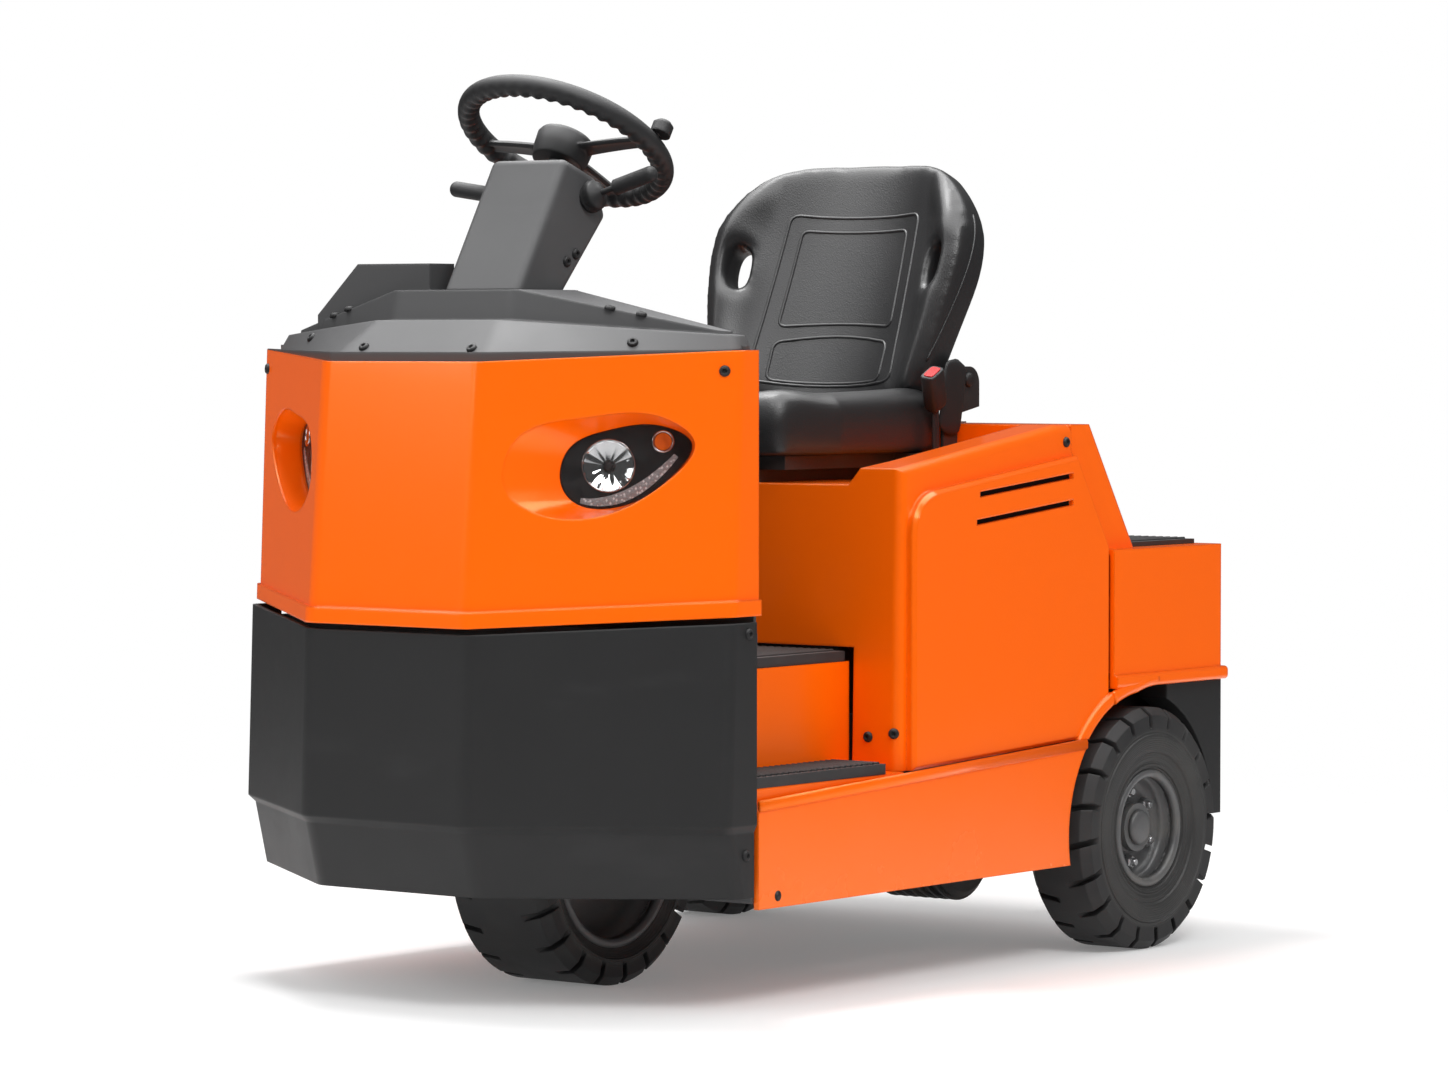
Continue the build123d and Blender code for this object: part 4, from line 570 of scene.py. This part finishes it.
# Instrument face: a dark display in a moulded frame, a key switch and two rocker switches.
# They clip into the console's rear wall, facing the driver, and the key switch is plated steel.
console_x, console_z = 0.502, 1.036
display_glass, wire, place = new_finish("display_glass", Base_Color=(0.012, 0.014, 0.016, 1.0),
                                        Coat_Weight=1.0)
(0.08 + 0.06 * noise(wire, place, 40.0)).into("Roughness")


def plaque(centre, half_y, half_z, rise):
    """Rounded rectangular boss on the console's wall: a squared-off circle drawn in towards its top."""
    angle = np.linspace(0, 2 * math.pi, 40, endpoint=False)
    circle = np.stack((np.cos(angle), np.sin(angle)), 1)
    outline = np.sign(circle) * np.abs(circle)**0.35 * (half_y, half_z)
    levels = np.array(((0.0, -0.002), (1.0, -0.002), (1.0, 0.6 * rise), (0.93, rise), (0.0, rise)))
    grid = np.empty((len(levels), len(angle), 3))
    grid[..., 0] = -levels[:, None, 1]
    grid[..., 1:] = outline * levels[:, None, :1]
    return np.asarray(centre) + grid


display_frame = [plaque((console_x, 0.028, console_z), 0.048, 0.032, 0.007)]
make_piece("display_frame", display_frame, black_moulding, "chassis")
display_face = [plaque((console_x - 0.0065, 0.028, console_z), 0.041, 0.025, 0.0012)]
make_piece("display_face", display_face, display_glass, "chassis")
rockers = [plaque((console_x, y, console_z + 0.016), 0.009, 0.014, 0.006) for y in (-0.038, -0.062)]
make_piece("rocker_switches", rockers, black_moulding, "chassis")
key_profile = [(0, -0.002), (0.013, -0.002), (0.013, 0.005), (0.010, 0.007), (0.010, 0.010), (0, 0.010)]
key_switch = turned(key_profile, (console_x, -0.050, console_z - 0.022), (-1, 0, 0), 32)
make_piece("key_switch", [key_switch], zinc_steel, "chassis")


# Seat: moulded foam under black grained vinyl, with a bolstered back, hand holes and embossed panels.
# The skins are shaped from the soft solids, which are evened out, rounded over and then dished.
seat_vinyl, wire, place = new_finish("seat_vinyl", Specular_IOR_Level=0.42)
pebble = wire.put("ShaderNodeTexVoronoi", {"feature": "SMOOTH_F1"}, {"Vector": place, "Scale": 480.0})
noise(wire, place, 6.0).tint((0.015, 0.015, 0.016, 1.0), (0.023, 0.023, 0.024, 1.0)).into("Base Color")
(0.30 + 0.1 * noise(wire, place, 9.0)).into("Roughness")
wire.put("ShaderNodeBump", {}, {"Strength": 0.5, "Distance": 0.0004, "Height": pebble}).into("Normal")


def foam_skin(name, node, voxel, rounds):
    """Even skin round a soft solid: merged, remeshed in voxels, and relaxed a number of rounds."""
    shape = bmesh.new()
    shape.from_mesh(solids[node].data)
    bmesh.ops.remove_doubles(shape, verts=shape.verts, dist=1e-5)
    mesh = bpy.data.meshes.new(name)
    shape.to_mesh(mesh)
    shape.free()
    piece = bpy.data.objects.new(name, mesh)
    bpy.context.scene.collection.objects.link(piece)
    remesh = piece.modifiers.new("even_skin", "REMESH")
    remesh.mode = "VOXEL"
    remesh.voxel_size = voxel
    even = bpy.data.meshes.new_from_object(piece.evaluated_get(bpy.context.evaluated_depsgraph_get()))
    piece.modifiers.clear()
    piece.data = even
    points = np.empty(3 * len(even.vertices))
    even.vertices.foreach_get("co", points)
    points = points.reshape(-1, 3)
    edges = np.empty(2 * len(even.edges), int)
    even.edges.foreach_get("vertices", edges)
    edges = edges.reshape(-1, 2)
    count = np.bincount(edges.ravel(), minlength=len(points))[:, None]
    for _ in range(rounds):
        total = np.zeros_like(points)
        np.add.at(total, edges[:, 0], points[edges[:, 1]])
        np.add.at(total, edges[:, 1], points[edges[:, 0]])
        points = 0.5 * points + 0.5 * total / count
    return piece, points


def settle(piece, points):
    """Put shaped points back and finish the skin as vinyl."""
    piece.data.vertices.foreach_set("co", points.ravel())
    piece.data.update()
    piece.data.polygons.foreach_set("use_smooth", np.full(len(piece.data.polygons), True))
    piece.data.materials.clear()
    piece.data.materials.append(seat_vinyl)
    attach(piece, "hood_group")


def hill(value, centre, width):
    """Bell curve of height one: e to minus the square of the distance from the centre in widths."""
    return np.exp(-((value - centre) / width)**2)


cushion, points = foam_skin("seat_cushion_skin", "seat_cushion", 0.006, 26)
low, high = (np.array(corner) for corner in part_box("seat_cushion"))
upper = np.clip((points[:, 2] - low[2]) / (high[2] - low[2]), 0, 1)**2
across = np.abs(points[:, 1])
along = (points[:, 0] - low[0]) / (high[0] - low[0])
corner_reach, corner_pull, bolster_rise, bolster_y = 0.150, 0.21, 0.012, 0.195
dip_depth, thigh_rise, nose_push, tail_push, tail_share = 0.016, 0.008, 0.006, 0.018, 0.25
past_x = np.clip(points[:, 0] - (high[0] - corner_reach), 0, None)
past_y = np.clip(across - (high[1] - corner_reach), 0, None)
pulled = corner_pull * past_x * past_y / corner_reach**2
bolster = bolster_rise * hill(across, bolster_y, 0.050) * (1.3 - along)
dip = dip_depth * hill(across, 0.0, 0.13) * hill(along, 0.35, 0.4)
points[:, 2] += upper * (bolster - dip + thigh_rise * hill(along, 0.88, 0.14))
points[:, 0] += nose_push * hill(along, 1.0, 0.15) * hill(points[:, 2], 0.870, 0.03) - pulled * corner_reach
points[:, 0] -= tail_push * np.clip(1 - along / tail_share, 0, 1)**2
points[:, 1] -= np.sign(points[:, 1]) * pulled * corner_reach
settle(cushion, points)
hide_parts("seat_cushion")

back_foot = np.array((-0.254, 0.0, 0.890))
back_lean = math.radians(20.0)
back_half, back_height, back_thick, back_wrap, corner_round = 0.243, 0.426, 0.092, 0.058, 0.146
hole_across, hole_up, hole_in = 0.197, 0.238, 0.014
wing_y, wing_share, roll_push, dish_depth, crown_rise, flank = 0.215, 0.45, 0.034, 0.020, 0.014, 0.018
top_forward, low_set_back, low_height = 0.006, 0.026, 0.30
back_front = np.array((math.cos(back_lean), 0.0, math.sin(back_lean)))
back_up = np.array((-math.sin(back_lean), 0.0, math.cos(back_lean)))
back, points = foam_skin("seat_back_skin", "seat_back", 0.006, 30)
across, outward = np.abs(points[:, 1]), np.sign(points[:, 1])
up = (points - back_foot) @ back_up
out = (points - back_foot) @ back_front
face = back_thick - back_wrap * (across / back_half)**2
depth = np.clip(face - out, 0, None)
hole = hill(across, hole_across, 0.045) * hill(up, hole_up, 0.075)
points += (wing_share * hill(across, wing_y, 0.075) * depth)[:, None] * back_front
points[:, 1] += outward * hole * (0.20 * depth + 0.35 * (across - hole_across) - hole_in)
corner_x, corner_z = across - (back_half - corner_round), up - (back_height - corner_round)
inside = np.where((corner_x > 0) & (corner_z > 0), corner_round - np.hypot(corner_x, corner_z),
                  np.minimum(back_half - across, back_height - up))
fore = np.clip(1 - depth / 0.05, 0, 1)
push = roll_push * hill(inside, 0.038, 0.032) - dish_depth * hill(across, 0.0, 0.14) * hill(up, 0.17, 0.20)
points += (fore * push)[:, None] * back_front
points += (crown_rise * hill(across, 0.0, 0.13) * hill(up, back_height, 0.08))[:, None] * back_up
points[:, 1] += outward * across / back_half * (flank * hill(up, 0.26, 0.12) - flank * hill(up, 0.0, 0.10))
points[:, 0] += top_forward * np.clip(up / back_height, 0, 1)**2
points[:, 0] -= low_set_back * fore * np.clip(1 - up / low_height, 0, 1)**2
settle(back, points)
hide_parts("seat_back")
skin_tree = BVHTree.FromPolygons(points.tolist(), [list(face.vertices) for face in back.data.polygons])


def embossed(outline, closed):
    """A fine raised bead along an outline of (across, up) points, each dropped on the backrest's skin."""
    outline = np.asarray(outline, float)
    starts = back_foot + outline[:, :1] * (0, 1, 0) + outline[:, 1:] * back_up + 0.3 * back_front
    path = np.array([skin_tree.ray_cast(Vector(start), Vector(-back_front))[0] for start in starts])
    return carried(path, oval(0.0027, 0.0020, 8), back_front, closed)


def rounded_outline(corners, radius, points=8):
    """Closed outline through corner arcs: each corner is cut back and rounded by a quadratic curve."""
    corners = np.asarray(corners, float)
    before = corners + radius * unit(np.roll(corners, 1, 0) - corners)
    after = corners + radius * unit(np.roll(corners, -1, 0) - corners)
    t = np.linspace(0, 1, points)[None, :, None]
    arcs = (1 - t)**2 * before[:, None] + 2 * t * (1 - t) * corners[:, None] + t**2 * after[:, None]
    outline = arcs.reshape(-1, 2)
    following = np.roll(outline, -1, 0)
    fine = np.linspace(0, 1, 6, endpoint=False)[None, :, None]
    return ((1 - fine) * outline[:, None] + fine * following[:, None]).reshape(-1, 2)


panel_half, panel_low, panel_high, lumbar_low, lumbar_high = 0.116, 0.140, 0.312, 0.045, 0.112
panel = rounded_outline([(-0.108, panel_high), (0.108, panel_high), (panel_half, panel_low),
                         (-panel_half, panel_low)], 0.014)
crown = np.clip(1 - (panel[:, 0] / panel_half)**2, 0, 1)
panel[:, 1] += 0.010 * crown * np.clip((panel_high - panel[:, 1]) / (panel_high - panel_low), 0, 1)**2
lumbar = rounded_outline([(-panel_half, lumbar_low), (-panel_half, lumbar_high), (panel_half, lumbar_high),
                          (panel_half, lumbar_low)], 0.014)
crown = np.clip(1 - (lumbar[:, 0] / panel_half)**2, 0, 1)
lumbar[:, 1] += 0.016 * crown * np.clip((lumbar[:, 1] - lumbar_low) / (lumbar_high - lumbar_low), 0, 1)**2
outer = rounded_outline([(-0.148, 0.040), (-0.132, 0.338), (0.132, 0.338), (0.148, 0.040)], 0.018)
beads = [embossed(line, True) for line in (panel, lumbar, outer)]
for side in (1, -1):
    rise = np.linspace(0.07, 0.33, 40)[:, None]
    seam_out = 0.030 + 0.020 * (1 - rise / 0.33)
    starts = back_foot + rise * back_up + seam_out * back_front + (0, side * 0.4, 0)
    hits = [skin_tree.ray_cast(Vector(start), Vector((0, -side, 0)))[0] for start in starts]
    beads.append(carried([hit for hit in hits if hit is not None], oval(0.0020, 0.0020, 8), (0, side, 0)))
make_piece("seat_back_beads", beads, seat_vinyl, "hood_group")

buckle_low, buckle_high = (np.array(corner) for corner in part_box("seat_buckle"))
button_red, wire, place = new_finish("button_red", Specular_IOR_Level=0.2)
noise(wire, place, 80.0).tint((0.62, 0.012, 0.014, 1.0), (0.45, 0.010, 0.012, 1.0)).into("Base Color")
(0.45 + 0.1 * noise(wire, place, 120.0)).into("Roughness")
buckle_axis = unit((0.46, 0.20, 0.86))
buckle_length, buckle_lean = 0.066, (1.0, 0.0, -0.5)
buckle_root = np.array((buckle_low[0] + 0.010, 0.5 * (buckle_low[1] + buckle_high[1]),
                        buckle_high[2] - 0.056))
buckle_head = buckle_root + buckle_length * buckle_axis
swell = np.array((0.80, 1.0, 1.0, 0.94))[:, None, None]
block_path = buckle_root + np.array((0.0, 0.008, 0.063, buckle_length))[:, None] * buckle_axis
square = np.sign(oval(1, 1, 24)) * np.abs(oval(1, 1, 24))**0.4
block = carried(block_path, swell * square * (0.0130, 0.0205), buckle_lean)
strap = carried([(buckle_root[0], buckle_root[1], buckle_low[2]), buckle_root + 0.012 * buckle_axis],
                oval(0.003, 0.009, 16), (1, 0, 0))
buckle = make_piece("buckle_block", [block, strap], black_moulding, "hood_group")
crisp(buckle, 50.0)
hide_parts("seat_buckle")
button_path = [buckle_head - 0.001 * buckle_axis, buckle_head + 0.0016 * buckle_axis]
button = carried(button_path, square * (0.0088, 0.0150), buckle_lean)
make_piece("buckle_button", [button], button_red, "hood_group", smooth=False)

cover_x, cover_y, cover_z, cover_half = -0.270, 0.2530, 0.912, 0.062
bracket_x, bracket_y, bracket_z = -0.320, 0.2493, 0.940
run = np.linspace(-1, 1, 20)
cover_swell = np.sqrt(np.clip(1 - run**8, 0.02, 1))[:, None, None]
covers = [carried(np.stack((cover_x - 0.012 * run, side * cover_y + 0 * run, cover_z + cover_half * run), 1),
                  cover_swell * oval(0.031, 0.0050, 24), (0, side, 0)) for side in (1, -1)]
make_piece("recliner_covers", covers, black_moulding, "hood_group")
bolt_profile = [(0, 0), (0.012, 0), (0.012, 0.003), (0.009, 0.006), (0, 0.006)]
bracket_bolts = [turned(bolt_profile, (bracket_x, side * bracket_y, bracket_z), (0, side, 0), 24)
                 for side in (1, -1)]
make_piece("seat_bracket_bolts", bracket_bolts, black_moulding, "hood_group")


# Wheels: black rubber tyres with moulded rings and bands on their walls, on dark painted pressed rims.
# Nuts on six studs hold each rear rim to its hub, and a pressed cap covers the hub's end.
def tyre_finish(name, axle_x, bead, shoulder):
    """Rubber with fine rings on the wall: bump and dust follow the distance from the axle."""
    material, wire, place = new_finish(name, Specular_IOR_Level=0.35)
    spoke = wire.put("ShaderNodeMapping", {}, {"Vector": place, "Location": (-axle_x, 0.0, -wheel_radius),
                                               "Scale": (1.0, 0.0, 1.0)})
    reach = wire.put("ShaderNodeVectorMath", {"operation": "LENGTH"}, {0: spoke}, "Value")
    scrub = noise(wire, place, 12.0, 6.0).rising(0.35, 0.75)
    wall = 1 - reach.rising(shoulder - 0.004, shoulder + 0.004)
    greyed = 0.45 * scrub + 0.4 * wall
    greyed.tint((0.016, 0.016, 0.017, 1.0), (0.050, 0.049, 0.047, 1.0)).into("Base Color")
    (0.55 + 0.2 * scrub).into("Roughness")
    step = reach.rising(bead + 0.020, bead + 0.023) - reach.rising(shoulder - 0.007, shoulder - 0.004)
    rings = reach * (2 * math.pi / 0.0035)
    fine = rings.calc("SINE", rings) * 0.12 * wall
    soft_edges(wire, 0.004, step + fine + 0.15 * noise(wire, place, 260.0, 4.0), 0.0018, 0.8)
    return material


rear_wheel_y, rear_half, front_half = 0.425, 0.061, 0.095
rear_bead, front_bead, tyre_shoulder = 0.092, 0.136, 0.163
rear_rubber = tyre_finish("rear_tyre_rubber", rear_axle, rear_bead, tyre_shoulder)
front_rubber = tyre_finish("front_tyre_rubber", front_axle, front_bead, tyre_shoulder + 0.006)
rim_paint, wire, place = new_finish("rim_paint", Specular_IOR_Level=0.5)
rim_grime = noise(wire, place, 18.0, 6.0).rising(0.45, 0.75)
rim_grime.tint((0.085, 0.086, 0.088, 1.0), (0.115, 0.111, 0.104, 1.0)).into("Base Color")
(0.38 + 0.3 * rim_grime).into("Roughness")
soft_edges(wire, 0.002, noise(wire, place, 220.0), 0.0003)
coat(rear_rubber, "rear_left_tyre", "rear_right_tyre")
coat(front_rubber, "front_tyre")
coat(rim_paint, "front_rim", "rear_left_rim", "rear_right_rim")


def rolled_lip(axle_x, y, side, bead):
    """Rolled edge of a pressed rim: a small hooked profile turned round the axle."""
    profile = [(bead - 0.009, -0.006), (bead - 0.0085, 0.003), (bead - 0.005, 0.0065), (bead + 0.001, 0.007),
               (bead + 0.005, 0.0045), (bead + 0.005, 0.001), (bead - 0.001, 0.0005), (bead - 0.004, -0.006),
               (bead - 0.009, -0.006)]
    return turned(profile, (axle_x, y, wheel_radius), (0, side, 0), 96)


def wall_band(node, axle_x, side, inner, outer, rise):
    """Raised band on a tyre's wall: the wall's line between two radii, lifted with rounded shoulders."""
    share = np.linspace(0, 1, 10)
    reach = inner + (outer - inner) * share
    starts = [(axle_x + radius, side * beside, wheel_radius) for radius in reach]
    wall = [touch(node, start, (0, -side, 0))[0][1] * side for start in starts]
    lift = rise * np.clip(1 - np.abs(2 * share - 1)**6, 0, 1)
    under = np.array([(outer, wall[-1] - 0.003), (inner, wall[0] - 0.003)])
    profile = np.concatenate((np.stack((reach, wall + lift), 1), under, [(inner, wall[0])]))
    return turned(profile, (axle_x, 0.0, wheel_radius), (0, side, 0), 96)


stud_circle, stud_count, first_stud, disc_face, lip_inset = 0.059, 6, 0.45, 0.0055, 0.014
wide_band, narrow_band = (0.124, 0.157, 0.0035), (0.101, 0.107, 0.0020)
cap_profile = [(0.0, 0.0305), (0.029, 0.0305), (0.029, 0.035), (0.026, 0.039), (0.018, 0.0405), (0.0, 0.041)]
rear_dish_profile = [(0.0835, 0.040), (0.082, 0.018), (0.077, 0.009), (0.066, disc_face), (0.048, disc_face),
                     (0.042, 0.010), (0.0402, 0.018), (0.0402, 0.004), (0.0835, 0.004), (0.0835, 0.040)]
for name, body, side in (("rear_left", "rear_wheel_left", 1), ("rear_right", "rear_wheel_right", -1)):
    out = np.array((0.0, side, 0.0))
    centre = np.array((rear_axle, side * rear_wheel_y, wheel_radius))
    lips = [rolled_lip(rear_axle, side * (rear_wheel_y + reach), math.copysign(1, side * reach), rear_bead)
            for reach in (rear_half - lip_inset, lip_inset - rear_half)]
    cap = turned(cap_profile, centre, out, 48)
    dish = turned(rear_dish_profile, centre, out, 96)
    make_piece(f"{name}_rim_lips", lips + [cap, dish], rim_paint, body)
    bands = [wall_band(f"{name}_tyre", rear_axle, side, *band) for band in (wide_band, narrow_band)]
    make_piece(f"{name}_wall_bands", bands, rear_rubber, body)
    aim = np.linspace(0, 2 * math.pi, stud_count, endpoint=False) + first_stud
    seats = centre + disc_face * out + stud_circle * np.stack((np.cos(aim), 0 * aim, np.sin(aim)), axis=1)
    nuts = [grid for seat in seats for grid in nut_on_stud(seat, out)]
    crisp(make_piece(f"{name}_wheel_nuts", nuts, zinc_steel, body))
front_lips = [rolled_lip(front_axle, side * (front_half - lip_inset), side, front_bead) for side in (1, -1)]
front_dish_profile = [(0.1275, 0.070), (0.125, 0.030), (0.110, 0.012), (0.070, disc_face), (0.0402, 0.006),
                      (0.0402, 0.004), (0.1275, 0.004), (0.1275, 0.070)]
front_centre = (front_axle, 0.0, wheel_radius)
front_dish = [turned(front_dish_profile, front_centre, (0, side, 0), 96) for side in (1, -1)]
make_piece("front_rim_lips", front_lips + front_dish, rim_paint, "front_wheel")


# Studio: a pale floor that fades into a white surround, large soft lamps and the camera.
# A wide panel overhead shows only in reflections, so that it lights the paint's gloss and not the floor.
floor_radius, fade_start, fade_end = 9.0, 1.4, 4.0
angle = np.linspace(0, 2 * math.pi, 96, endpoint=False)
ring = np.stack((floor_radius * np.cos(angle), floor_radius * np.sin(angle), 0 * angle), axis=1)
floor_mesh = bpy.data.meshes.new("studio_floor")
floor_mesh.from_pydata(ring.tolist(), [], [list(range(len(ring)))])
floor = bpy.data.objects.new("studio_floor", floor_mesh)
bpy.context.scene.collection.objects.link(floor)
floor_finish, wire, place = new_finish("studio_floor", Base_Color=(0.90, 0.90, 0.90, 1.0), Roughness=0.9,
                                       Specular_IOR_Level=0.05, Emission_Color=(1.0, 1.0, 1.0, 1.0),
                                       Emission_Strength=0.16)
reach = wire.put("ShaderNodeVectorMath", {"operation": "LENGTH"}, {0: place}, "Value")
(1 - reach.rising(fade_start, fade_end)).into("Alpha")
floor_mesh.materials.append(floor_finish)

gloss_level, fill_level, seen_level = 0.10, 0.62, 0.90
world = bpy.data.worlds.new("studio")
world.use_nodes = True
bpy.context.scene.world = world
sky = Wire(world.node_tree)
rays = [sky.put("ShaderNodeLightPath", {}, {}, name) for name in ("Is Camera Ray", "Is Transmission Ray")]
seen = sky.calc("MAXIMUM", *rays)
fill = sky.put("ShaderNodeLightPath", {}, {}, "Is Diffuse Ray")
background = world.node_tree.nodes["Background"]
background.inputs["Color"].default_value = (1.0, 1.0, 1.0, 1.0)
strength = gloss_level + fill_level * fill + seen_level * seen
world.node_tree.links.new(strength.socket, background.inputs["Strength"])


def soft_lamp(name, place, target, width, watts):
    """Square area lamp at a place, facing a target."""
    light = bpy.data.lights.new(name, "AREA")
    light.size = width
    light.energy = watts
    lamp = bpy.data.objects.new(name, light)
    lamp.location = place
    lamp.rotation_mode = "QUATERNION"
    lamp.rotation_quaternion = (Vector(target) - Vector(place)).to_track_quat("-Z", "Y")
    bpy.context.scene.collection.objects.link(lamp)
    return lamp


soft_lamp("key_lamp", (2.2, 3.6, 4.2), (0.0, 0.0, 0.6), 1.7, 100)
soft_lamp("nose_lamp", (4.6, -2.4, 2.6), (0.3, 0.0, 0.6), 2.2, 45)
soft_lamp("top_lamp", (0.2, -0.7, 4.2), (-0.1, 0.0, 0.6), 1.2, 85)

glow = soft_lamp("ceiling_glow", (0.2, -0.2, 3.4), (0.2, -0.2, 0.0), 5.0, 450)
glow.visible_diffuse = False

camera_place, camera_yaw, camera_pitch = (6.756, 5.177, 1.0116), math.radians(37.52), math.radians(2.26)
focal_pixels, photo_width, sensor = 5241.06, 1448, 36.0
camera_data = bpy.data.cameras.new("camera")
camera_data.sensor_width = sensor
camera_data.lens = focal_pixels / photo_width * sensor
camera_data.clip_end = 100.0
camera = bpy.data.objects.new("camera", camera_data)
camera.location = camera_place
facing = Vector((-math.cos(camera_yaw) * math.cos(camera_pitch),
                 -math.sin(camera_yaw) * math.cos(camera_pitch), -math.sin(camera_pitch)))
camera.rotation_mode = "QUATERNION"
camera.rotation_quaternion = facing.to_track_quat("-Z", "Y")
bpy.context.scene.collection.objects.link(camera)
bpy.context.scene.camera = camera
bpy.context.scene.view_settings.view_transform = "Standard"
